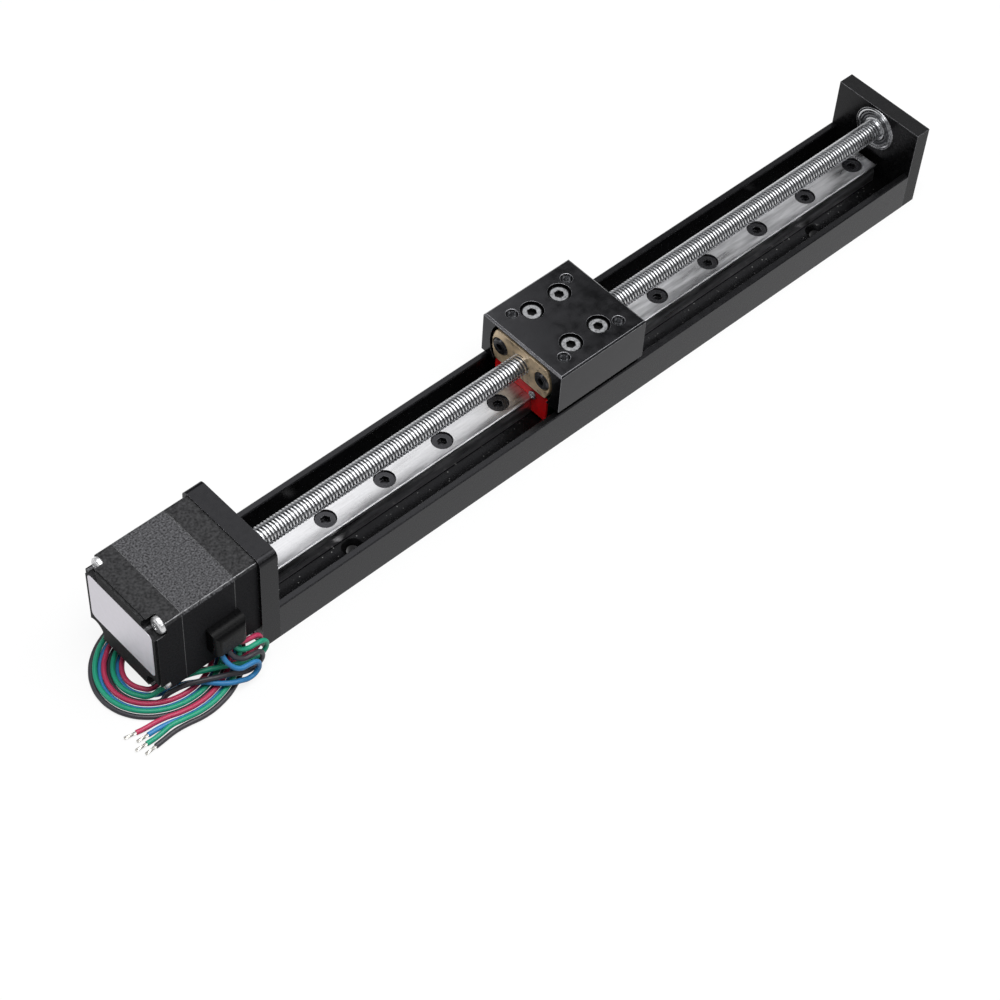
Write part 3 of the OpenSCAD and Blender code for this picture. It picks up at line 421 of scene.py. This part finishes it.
def dark_sockets(screws, hex_size, material, along="Z"):
    """Gives the faces inside the hexagon sockets of a set of like screws a darker finish: painted
    shade.
    Joined vertices are grouped into single screws, and a face counts when it lies in its screw's
    middle, no further out than the hexagon's corners."""
    mesh = screws.data
    group = list(range(len(mesh.vertices)))

    def root(index):
        while group[index] != index:
            group[index] = group[group[index]]
            index = group[index]
        return index

    for edge in mesh.edges:
        group[root(edge.vertices[0])] = root(edge.vertices[1])
    flat = (0, 1) if along == "Z" else (1, 2)
    reach = {}
    for vertex in mesh.vertices:
        reach.setdefault(root(vertex.index), []).append([vertex.co[axis] / MM for axis in flat])
    middle = {key: [(min(v[i] for v in spots) + max(v[i] for v in spots)) / 2 for i in (0, 1)]
              for key, spots in reach.items()}
    mesh.materials.append(material)
    corner = hex_size / 2 / math.cos(math.pi / 6) * SOCKET_MARGIN
    for polygon in mesh.polygons:
        mid = middle[root(polygon.vertices[0])]
        spots = [[mesh.vertices[i].co[axis] / MM for axis in flat] for i in polygon.vertices]
        if all(math.dist(spot, mid) < corner for spot in spots):
            polygon.material_index = len(mesh.materials) - 1


for node, body, hexagon, along in (
        ("plate_screws", "frame", 1.5, "X"), ("nut_screws", "carriage", 2, "X"),
        ("motor_mounting_screws", "frame", 2, "X"), ("rail_screws", "frame", 2, "Z")):
    heads = softened(node, f"black_{node}", body, black_oxide,
                     edge=0.12, edge_material=oxide_rim_highlight)
    dark_sockets(heads, hexagon, socket_shade, along)

# ---- guide rail ----------------------------------------------------------------------------
# A miniature profile rail with a ball track along each side, held down by screws in twelve
# counterbored holes.
# Hardened steel ground lengthwise: bright, with long pale and dark streaks. Real grinding marks
# are a few hundredths of a millimetre wide and are drawn 1.6 mm wide so that they show.
ground_steel = finish("ground_rail_steel", "#d6d6d8", 0.33, 1.0, grain=1.6, tone=0.34, gloss=0.08,
                      relief=0.006, stretch=(0.15, 1, 1), detail=7.0)
softened("guide_rail", "rail", "frame", ground_steel, edge=0.12)

# ---- guide block ---------------------------------------------------------------------------
# A steel block straddles the rail on two loops of balls. Moulded green caps turn the balls
# round at its ends, and a red rubber seal on each cap wipes the rail.
# The block is the same hardened steel, ground duller and finer.
block_steel = finish("ground_block_steel", "#a9abaf", 0.32, 1.0, grain=0.15, tone=0.08,
                     relief=0.002, stretch=(0.05, 1, 1))
softened("guide_block", "block", "carriage", block_steel, edge=0.12)
# Nylon moulded in an eroded tool: dark green with a fine, dull grain.
cap_plastic = finish("moulded_green_nylon", "#174a38", 0.45, grain=0.4, tone=0.12, relief=0.004)
# Nitrile rubber bonded to a thin plate: strong red, soft sheen, wiped with oil.
seal_rubber = finish("red_seal_rubber", "#f2141a", 0.42, grain=0.5, tone=0.16, relief=0.003)
for end in ("near_motor", "far"):
    softened(f"end_cap_{end}", f"turnaround_cap_{end}", "carriage", cap_plastic,
             edge=0.12)
    softened(f"end_seal_{end}", f"wiper_{end}", "carriage", seal_rubber, edge=0.08)

# Turned stainless steel: bright, with a slightly uneven shine.
stainless = finish("stainless_screw_steel", "#c9cacc", 0.22, 1.0, grain=0.25, tone=0.06, gloss=0.08,
                   relief=0.004)
softened("end_cap_screws", "cap_screws", "carriage", stainless, edge=0.06)

# Lapped bearing steel: the balls in the block and in the three bearings are close to mirrors.
ball_polish = finish("polished_ball_steel", "#cfd1d4", 0.12, 1.0, grain=0.6, tone=0.03, gloss=0.03)
for node in ("recirculating_balls", "bearing_balls"):
    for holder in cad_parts[node].material_slots:
        holder.material = ball_polish

# ---- carriage ------------------------------------------------------------------------------
# A milled aluminium block, black anodised, screwed to the guide block by four bright socket
# screws. Four tapped holes at its corners take the load.
# Fly-cut aluminium, anodised black: smoother than the plates, with faint clouds of oil.
anodised_carriage = finish("black_anodised_carriage", "#313133", 0.18, 0.88, grain=3, tone=0.12,
                           relief=0.004, detail=7.0)
softened("carriage_block", "carriage", "carriage", anodised_carriage,
         edge=0.16, edge_material=edge_highlight)
# Stainless steel turned flat on top, with a knurled rim: bright and blotchy, with painted shade on
# the rims.
head_steel = finish("turned_screw_head_shaded_rim", "#a9aaac", 0.30, 1.0, grain=0.9, tone=0.3, gloss=0.1,
                    relief=0.01)
HEAD_R = 2.75
HEAD_BRIGHT_R = 2.4
HEAD_DARK_R = 2.5
RIM_SHADE_TONE = 0.06
heads_low, heads_high = (corner / MM for corner in map(Vector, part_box("carriage_screws")))


def shaded_rims(material):
    """Darkens the knurled outer rim of four screw heads with painted shade, where they meet their
    counterbores. The heads stand on a rectangle, which is folded twice so that one corner serves
    for all four."""
    shader = material.node_tree.nodes["Principled BSDF"]
    middle = (heads_low + heads_high) / 2
    reach = (heads_high - heads_low) / 2
    place = add_node(material, "ShaderNodeTexCoord")
    centred = add_node(material, "ShaderNodeMapping",
                       {"Location": (-middle.x * MM, -middle.y * MM, 0), "Scale": (1, 1, 0)},
                       {"Vector": place.outputs["Object"]})
    folded = add_node(material, "ShaderNodeVectorMath", {"operation": "ABSOLUTE"},
                      {0: centred.outputs["Vector"]})
    off_axis = add_node(material, "ShaderNodeVectorMath",
                        {"operation": "SUBTRACT",
                         1: ((reach.x - HEAD_R) * MM, (reach.y - HEAD_R) * MM, 0)},
                        {0: folded.outputs["Vector"]})
    radius = add_node(material, "ShaderNodeVectorMath", {"operation": "LENGTH"},
                      {0: off_axis.outputs["Vector"]})
    shade = add_node(material, "ShaderNodeMapRange",
                     {"From Min": HEAD_BRIGHT_R * MM, "From Max": HEAD_DARK_R * MM,
                      "To Min": 1.0, "To Max": RIM_SHADE_TONE}, {"Value": radius.outputs["Value"]})
    skin = shader.inputs["Base Color"].links[0].from_socket
    rim = add_node(material, "ShaderNodeHueSaturation", None,
                   {"Color": skin, "Value": shade.outputs["Result"]})
    material.node_tree.links.new(rim.outputs["Color"], shader.inputs["Base Color"])


shaded_rims(head_steel)
block_heads = softened("carriage_screws", "block_screws", "carriage", head_steel,
                       edge=0.2)
dark_sockets(block_heads, 2.5, socket_shade)

# Threads cut after anodising: bare aluminium, coloured dark as a painted shade inside the holes.
cut_thread = finish("painted_shade_cut_thread", "#606164", 0.30, 0.9, grain=0.2, tone=0.1)
TAP_HALF = 10
TAP_PITCH = 0.5
TAP_TURNS = 9
TAP_STEPS = 20
TAP_DEPTH = 5
TAP_BOTTOM = 0.1
TAP_CORE = 1.05
TAP_ROOT = 1.22
TAP_SKIN = 0.02
THREAD_WELD = 0.005
TURNED_SMOOTH = 30


def helix(name, profile, start, turns, steps, pitch, along):
    """A helical skin: a profile of points (along, radius) wound round an axis from its start, one
    pitch for each turn."""
    bpy.ops.mesh.primitive_plane_add(size=1)
    thread = bpy.context.object
    thread.name = name
    bpy.ops.object.mode_set(mode="EDIT")
    bpy.ops.mesh.delete(type="VERT")
    bpy.ops.object.mode_set(mode="OBJECT")
    thread.data.vertices.add(len(profile))
    thread.data.edges.add(len(profile) - 1)
    for vertex, (offset, radius) in zip(thread.data.vertices, profile):
        vertex.co = Vector((offset, 0, radius) if along == "X" else (radius, 0, offset)) * MM
    for index, edge in enumerate(thread.data.edges):
        edge.vertices = (index, index + 1)
    wind = thread.modifiers.new("wind", "SCREW")
    wind.axis = along
    wind.angle = math.radians(360)
    wind.screw_offset = pitch * MM
    wind.iterations = turns
    wind.steps = wind.render_steps = steps
    wind.use_merge_vertices = False
    wind.use_smooth_shade = False
    bpy.ops.object.modifier_apply(modifier="wind")
    bpy.ops.object.mode_set(mode="EDIT")
    bpy.ops.mesh.select_all(action="SELECT")
    bpy.ops.mesh.remove_doubles(threshold=THREAD_WELD * MM)
    bpy.ops.mesh.normals_make_consistent(inside=False)
    bpy.ops.object.mode_set(mode="OBJECT")
    thread.location = Vector(start) * MM
    bpy.ops.object.transform_apply(location=True, rotation=True, scale=True)
    return thread


carriage_low, carriage_high = (corner / MM for corner in map(Vector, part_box("carriage_block")))
carriage_mid = (carriage_low.x + carriage_high.x) / 2
tap_flank = [(0, TAP_CORE), (0.1, TAP_CORE), (0.25, TAP_ROOT), (0.35, TAP_ROOT), (0.5, TAP_CORE)]
for number, (x, y) in enumerate(((-1, -1), (-1, 1), (1, -1), (1, 1)), 1):
    hole = helix(f"tapped_thread_{number}", tap_flank,
                 (carriage_mid + x * TAP_HALF, y * TAP_HALF,
                  carriage_high.z - TAP_DEPTH + TAP_BOTTOM),
                 TAP_TURNS, TAP_STEPS, TAP_PITCH, "Z")
    skin = hole.modifiers.new("skin", "SOLIDIFY")
    skin.thickness = TAP_SKIN * MM
    skin.offset = 1
    bpy.ops.object.modifier_apply(modifier="skin")
    bpy.ops.object.shade_smooth_by_angle(angle=math.radians(TURNED_SMOOTH))
    hole.data.materials.append(cut_thread)
    hole.select_set(False)
    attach(hole, "carriage")

# ---- lead screw and its nut ----------------------------------------------------------------
# A rolled trapezoidal screw, 6 mm across with two starts and 2 mm of travel a turn. Its brass
# nut has a round flange with two flats, sunk in the carriage's motor-side face.
SCREW_R = 3.0
ROOT_R = 2.45
START_PITCH = 1.0
STARTS = 2
SCREW_LEAD = STARTS * START_PITCH
CREST = 0.36
FLANK = 0.14
THREAD_FROM = -121.0
THREAD_TO = 117.0
THREAD_STEPS = 28
SPARE_TURNS = 2
SHAFT_R = 2.5
JOURNAL_R = 2.99
SHAFT_LAP = 0.4
SHAFT_SIDES = 48
SHAFT_CORNER = 0.3
screw_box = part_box("lead_screw")
screw_low, screw_high = screw_box[0][0] / MM, screw_box[1][0] / MM
screw_z = (screw_box[0][2] + screw_box[1][2]) / 2 / MM


def shaded_grooves(material, shade_fade_from, shade_fade_to, darkest):
    """Darkens a skin towards the screw's axis: painted shade in the grooves."""
    tree = material.node_tree
    shader = tree.nodes["Principled BSDF"]
    place = add_node(material, "ShaderNodeTexCoord")
    centred = add_node(material, "ShaderNodeMapping",
                       {"Location": (0, 0, -screw_z * MM), "Scale": (0, 1, 1)},
                       {"Vector": place.outputs["Object"]})
    radius = add_node(material, "ShaderNodeVectorMath", {"operation": "LENGTH"},
                      {0: centred.outputs["Vector"]})
    shade = add_node(material, "ShaderNodeMapRange",
                     {"From Min": shade_fade_from * MM, "From Max": shade_fade_to * MM,
                      "To Min": darkest, "To Max": 1.0}, {"Value": radius.outputs["Value"]})
    skin = shader.inputs["Base Color"].links[0].from_socket
    groove_shade = add_node(material, "ShaderNodeHueSaturation", None,
                    {"Color": skin, "Value": shade.outputs["Result"]})
    tree.links.new(groove_shade.outputs["Color"], shader.inputs["Base Color"])


# Stainless steel with rolled threads: burnished bright on the crests, with painted shade in the
# grooves.
rolled_steel = finish("rolled_screw_steel", "#e0e1e3", 0.27, 1.0, grain=0.6, tone=0.05, gloss=0.05,
                      relief=0.001)
shaded_grooves(rolled_steel, shade_fade_from=2.5, shade_fade_to=2.9, darkest=0.42)
tooth = ((0, SCREW_R), (CREST, SCREW_R), (CREST + FLANK, ROOT_R), (START_PITCH - FLANK, ROOT_R))
flanks = [(start * START_PITCH + offset, radius) for start in range(STARTS)
          for offset, radius in tooth] + [(SCREW_LEAD, SCREW_R)]
screw = helix("lead_screw_threaded", flanks, (THREAD_FROM - SCREW_LEAD, 0, screw_z),
              int((THREAD_TO - THREAD_FROM) / SCREW_LEAD) + SPARE_TURNS, THREAD_STEPS,
              SCREW_LEAD, "X")
bpy.ops.object.mode_set(mode="EDIT")
for side, clear in ((THREAD_FROM, "clear_inner"), (THREAD_TO, "clear_outer")):
    bpy.ops.mesh.select_all(action="SELECT")
    bpy.ops.mesh.bisect(plane_co=(side * MM, 0, screw_z * MM), plane_no=(1, 0, 0), use_fill=True,
                        **{clear: True})
bpy.ops.mesh.select_all(action="SELECT")
bpy.ops.mesh.normals_make_consistent(inside=False)
bpy.ops.object.mode_set(mode="OBJECT")
parts = [screw]
for name, radius, start, stop in (
        ("motor_shaft", SHAFT_R, screw_low, THREAD_FROM + SHAFT_LAP),
        ("bearing_journal", JOURNAL_R, THREAD_TO - SHAFT_LAP, screw_high)):
    bpy.ops.mesh.primitive_cylinder_add(
        vertices=SHAFT_SIDES, radius=radius * MM, depth=(stop - start) * MM,
        location=((start + stop) / 2 * MM, 0, screw_z * MM), rotation=(0, math.radians(90), 0))
    shaft = bpy.context.object
    shaft.name = name
    bpy.ops.object.transform_apply(location=True, rotation=True, scale=True)
    bpy.ops.object.mode_set(mode="EDIT")
    bpy.ops.mesh.select_all(action="SELECT")
    bpy.ops.mesh.region_to_loop()
    bpy.ops.object.mode_set(mode="OBJECT")
    rounding = shaft.modifiers.new("rounding", "BEVEL")
    rounding.width = SHAFT_CORNER * MM
    rounding.segments = 2
    bpy.ops.object.modifier_apply(modifier="rounding")
    parts.append(shaft)
for part in parts:
    part.select_set(True)
bpy.context.view_layer.objects.active = screw
bpy.ops.object.join()
bpy.ops.object.shade_smooth_by_angle(angle=math.radians(TURNED_SMOOTH))
screw.data.materials.clear()
screw.data.materials.append(rolled_steel)
screw.select_set(False)
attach(screw, "screw")
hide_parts("lead_screw")

# Brass turned and left bare: pale yellow, dulled in patches by handling.
nut_metal = finish("turned_brass", "#e9d0ac", 0.34, 0.4, grain=2.6, tone=0.3, gloss=0.1,
                   relief=0.003)
softened("lead_nut", "nut", "carriage", nut_metal, edge=0.05)

# ---- ball bearings -------------------------------------------------------------------------
# Three small ball bearings carry the screw: two inside the motor and a flanged one with steel
# shields in the far plate, whose rings show at the module's end.
RING_SPACING = 0.9
RING_RELIEF = 0.1
WAVE_PERIOD = 0.31416


def turned_rings(material, spacing, height):
    """Adds the fine rings that turning or grinding leaves round the screw's axis. A wave texture
    repeats every WAVE_PERIOD at a scale of 1."""
    shader = material.node_tree.nodes["Principled BSDF"]
    place = add_node(material, "ShaderNodeTexCoord")
    centred = add_node(material, "ShaderNodeMapping",
                       {"Location": (0, 0, -screw_z * MM)}, {"Vector": place.outputs["Object"]})
    rings = add_node(material, "ShaderNodeTexWave",
                     {"wave_type": "RINGS", "rings_direction": "X", "Distortion": 0.0,
                      "Scale": WAVE_PERIOD / (spacing * MM)},
                     {"Vector": centred.outputs["Vector"]})
    bump = add_node(material, "ShaderNodeBump", {"Distance": height * MM},
                    {"Height": rings.outputs["Fac"]})
    material.node_tree.links.new(bump.outputs["Normal"], shader.inputs["Normal"])


# Bearing steel, ground: bright rings. Real marks are far finer and are drawn 0.9 mm apart.
ring_steel = finish("ground_bearing_ring", "#d6d7d9", 0.24, 1.0, grain=0.4, tone=0.05)
turned_rings(ring_steel, RING_SPACING, RING_RELIEF)
for side, body in (("outer", "frame"), ("inner", "screw")):
    for node in (f"front_bearing_{side}", f"rear_bearing_{side}", f"end_bearing_{side}"):
        softened(node, f"ring_{node}", body, ring_steel, edge=0.12)
# Shields pressed from tinned sheet: greyer, with rings from the press tool.
shield_steel = finish("pressed_shield_steel", "#77787b", 0.30, 1.0, grain=0.4, tone=0.08)
turned_rings(shield_steel, RING_SPACING, RING_RELIEF)
softened("end_bearing_shields", "shields", "frame", shield_steel, edge=0.06)

# ---- motor ---------------------------------------------------------------------------------
# A 28 mm stepper motor: a stack of laminations between two die-cast caps, painted black. Pan
# head screws in the rear cap's notched corners pull the caps together.
# Black paint sprayed on die-cast aluminium: nearly without shine, over a blotchy casting skin.
cast_paint = finish("black_paint_on_casting", "#373738", 0.42, 0.0, grain=0.7, tone=0.5,
                    relief=0.02, detail=3.0)
# The same paint, thin on the edges of steel laminations: paler and granular. The grain is drawn
# 0.5 mm wide, about one lamination, so that it shows.
stack_paint = finish("black_paint_on_laminations", "#4e4e50", 0.50, 0.0, grain=0.5, tone=0.75,
                     gloss=0.12, relief=0.03, detail=2.0)
# The sides get a darker copy of the paint: a painted shade, even and close to black.
shaded_side_paint = finish("painted_shade_paint_side", "#2b2b2d", 0.50, 0.0, grain=0.5, tone=0.4, relief=0.02,
                    detail=2.0)
# Paler paint on the rounded edges, and paler still on the long corners: painted highlights.
edge_paint_highlight = finish("painted_highlight_paint_edge", "#5f5f60", 0.35, 0.3, grain=1.0, tone=0.6, detail=3.0)
corner_paint_highlight = finish("painted_highlight_paint_corner", "#929294", 0.28, 0.4, grain=0.9, tone=0.6, detail=3.0)
# A face is on a long corner where its normal leans this far both sideways and up, and on a side
# where it leans this far sideways.
CORNER_TURN = 0.6
SIDE_TURN = 0.95
PAINT_SHINE = 0.02
for paint in (cast_paint, stack_paint, shaded_side_paint):
    shader = paint.node_tree.nodes["Principled BSDF"]
    shader.inputs["Specular IOR Level"].default_value = PAINT_SHINE
for node, name, slot, paint in (
        ("motor_front_cap", "front_cap", "motor_black", cast_paint),
        ("stator_core", "lamination_stack", "lamination_black", stack_paint),
        ("motor_rear_cap", "rear_cap", "motor_black", cast_paint)):
    shell = softened(node, name, "frame", paint, edge=0.25, edge_material=edge_paint_highlight)
    shell.data.materials.append(corner_paint_highlight)
    shell.data.materials.append(shaded_side_paint)
    # Long corners take the painted highlight, and sides the painted shade.
    for polygon in shell.data.polygons:
        sideways, upwards = abs(polygon.normal.y), abs(polygon.normal.z)
        if min(sideways, upwards) > CORNER_TURN:
            polygon.material_index = 2
        elif sideways > SIDE_TURN:
            polygon.material_index = 3
# Nickel plate on steel: white and bright, softened by the barrel that plated it.
nickel = finish("nickel_plated_screw", "#ececed", 0.26, 0.65, grain=0.3, tone=0.05, gloss=0.06,
                relief=0.003)
softened("motor_through_screws", "long_pan_head_screws", "frame", nickel,
         edge=0.12)

# Inside: two toothed rotor cores with a ring magnet between them, wound bobbins on the poles,
# and a wave washer that takes up the bearings' play.
# Enamelled copper wire shines amber, its turns side by side. The bobbins are unfilled nylon,
# cream and waxy. Punched core steel is grey and scuffed, the magnet is a dull dark sinter, and
# the washer is spring steel blued in the oven.
enamel = finish("enamelled_copper_wire", "#a4562c", 0.30, 0.8, grain=0.25, tone=0.25, relief=0.05,
                stretch=(0.15, 1, 1))
nylon = finish("natural_moulded_nylon", "#d8d3c0", 0.5, grain=0.8, tone=0.06, relief=0.004)
core_steel = finish("punched_core_steel", "#8b8c90", 0.38, 1.0, grain=0.3, tone=0.12, relief=0.01,
                    stretch=(1, 0.1, 0.1))
magnet = finish("sintered_magnet", "#5b5c60", 0.45, 0.7, grain=0.15, tone=0.2, relief=0.01)
spring_steel = finish("blued_spring_steel", "#7d8087", 0.28, 1.0, grain=0.4, tone=0.08)
for node, coat in (("stator_windings", enamel), ("winding_bobbins", nylon),
                   ("rotor_core_front", core_steel), ("rotor_core_rear", core_steel),
                   ("rotor_magnet", magnet), ("wave_washer", spring_steel)):
    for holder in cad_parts[node].material_slots:
        holder.material = coat

# A blank label of metallised polyester film on the motor's back: silvery and even, with a soft
# shine. It is glued on, and its corners are round.
LABEL_Y = 12.5
LABEL_LOW = 13.8
LABEL_HIGH = 30.6
LABEL_ROUND = 1.5
LABEL_THICK = 0.06
label_paper = finish("blank_metallised_film", "#ece9f0", 0.40, 0.75, grain=1.5, tone=0.03,
                     gloss=0.05)
rear_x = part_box("motor_rear_cap")[0][0] / MM
bpy.ops.mesh.primitive_cube_add(size=1, location=(
    (rear_x - LABEL_THICK / 2) * MM, 0, (LABEL_LOW + LABEL_HIGH) / 2 * MM))
label = bpy.context.object
label.name = "label_blank"
label.scale = (LABEL_THICK * MM, 2 * LABEL_Y * MM, (LABEL_HIGH - LABEL_LOW) * MM)
bpy.ops.object.transform_apply(location=True, rotation=True, scale=True)
upright = label.data.attributes.new("bevel_weight_edge", "FLOAT", "EDGE")
for edge in label.data.edges:
    a, b = (label.data.vertices[i].co for i in edge.vertices)
    upright.data[edge.index].value = 1.0 if abs(a.x - b.x) > LABEL_THICK / 2 * MM else 0.0
rounding = label.modifiers.new("rounding", "BEVEL")
rounding.limit_method = "WEIGHT"
rounding.width = LABEL_ROUND * MM
rounding.segments = 6
bpy.ops.object.modifier_apply(modifier="rounding")
bpy.ops.object.shade_smooth_by_angle(angle=math.radians(TURNED_SMOOTH))
label.data.materials.append(label_paper)
label.select_set(False)
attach(label, "frame")

# A hood of soft black PVC over the leads' way out, moulded smooth: black, with soft highlights.
hood_plastic = finish("moulded_black_hood", "#0e0e0f", 0.30, grain=0.6, tone=0.1, relief=0.01)
HOOD_SHINE = 0.1
shader = hood_plastic.node_tree.nodes["Principled BSDF"]
shader.inputs["Specular IOR Level"].default_value = HOOD_SHINE
softened("lead_outlet", "lead_hood", "frame", hood_plastic, edge=0.5)

# ---- table and light -----------------------------------------------------------------------
# A white table top under soft lamps. The camera and polished metal see it glow white, and it
# throws back only a little light on the module. Lamps and table are placed in metres.
TABLE_BOUNCE = 0.15
TABLE_SEEN = 0.9
TABLE_GLOW = 0.84
SKY_LIGHT = 0.17
bpy.ops.mesh.primitive_plane_add(size=6, location=(0, 0, 0))
table = bpy.context.object
table.name = "table"
paper = bpy.data.materials.new("white_table")
paper.use_nodes = True
paper.node_tree.nodes.clear()
glow = add_node(paper, "ShaderNodeEmission", {"Color": linear("#ffffff"), "Strength": 1.0})
seen = add_node(paper, "ShaderNodeLightPath")
either = add_node(paper, "ShaderNodeMath", {"operation": "MAXIMUM"},
                  {0: seen.outputs["Is Camera Ray"], 1: seen.outputs["Is Glossy Ray"]})
level = add_node(paper, "ShaderNodeMapRange", {"To Min": TABLE_BOUNCE, "To Max": TABLE_SEEN},
                 {"Value": seen.outputs["Is Camera Ray"]})
matt = add_node(paper, "ShaderNodeBsdfDiffuse", None, {"Color": level.outputs["Result"]})
share = add_node(paper, "ShaderNodeMath", {"operation": "MULTIPLY", 1: TABLE_GLOW},
                 {0: either.outputs[0]})
both = add_node(paper, "ShaderNodeMixShader", None,
                {0: share.outputs[0], 1: matt.outputs["BSDF"], 2: glow.outputs["Emission"]})
add_node(paper, "ShaderNodeOutputMaterial", None, {"Surface": both.outputs["Shader"]})
table.data.materials.append(paper)
table.select_set(False)

world = bpy.data.worlds.new("studio")
bpy.context.scene.world = world
world.use_nodes = True
sky = world.node_tree.nodes["Background"]
sky.inputs["Color"].default_value = linear("#f2f4f8")
sky.inputs["Strength"].default_value = SKY_LIGHT


def soft_lamp(name, place, size, watts):
    """A flat soft lamp that faces the middle of the module."""
    light = bpy.data.lights.new(name, "AREA")
    light.shape = "RECTANGLE"
    light.size, light.size_y = size
    light.energy = watts
    lamp = bpy.data.objects.new(name, light)
    bpy.context.collection.objects.link(lamp)
    lamp.location = place
    lamp.rotation_mode = "QUATERNION"
    lamp.rotation_quaternion = Vector(place).to_track_quat("Z", "Y")


soft_lamp("lamp_above", (-0.15, -0.15, 1.1), (0.6, 0.6), 9)
soft_lamp("lamp_far_side", (0.26, 0.52, 0.95), (0.5, 0.5), 1.5)
soft_lamp("lamp_along_screw", (0.5, -0.35, 0.9), (0.8, 0.8), 5)
soft_lamp("lamp_near_edge", (0.3, -1.0, 0.7), (0.7, 0.14), 1)
soft_lamp("lamp_far_end", (0.433, 0.207, 0.36), (0.12, 0.12), 0.04)
soft_lamp("lamp_motor_end", (-0.9, 0.5, 0.6), (0.14, 0.6), 1.6)

bpy.context.scene.view_settings.view_transform = "Standard"
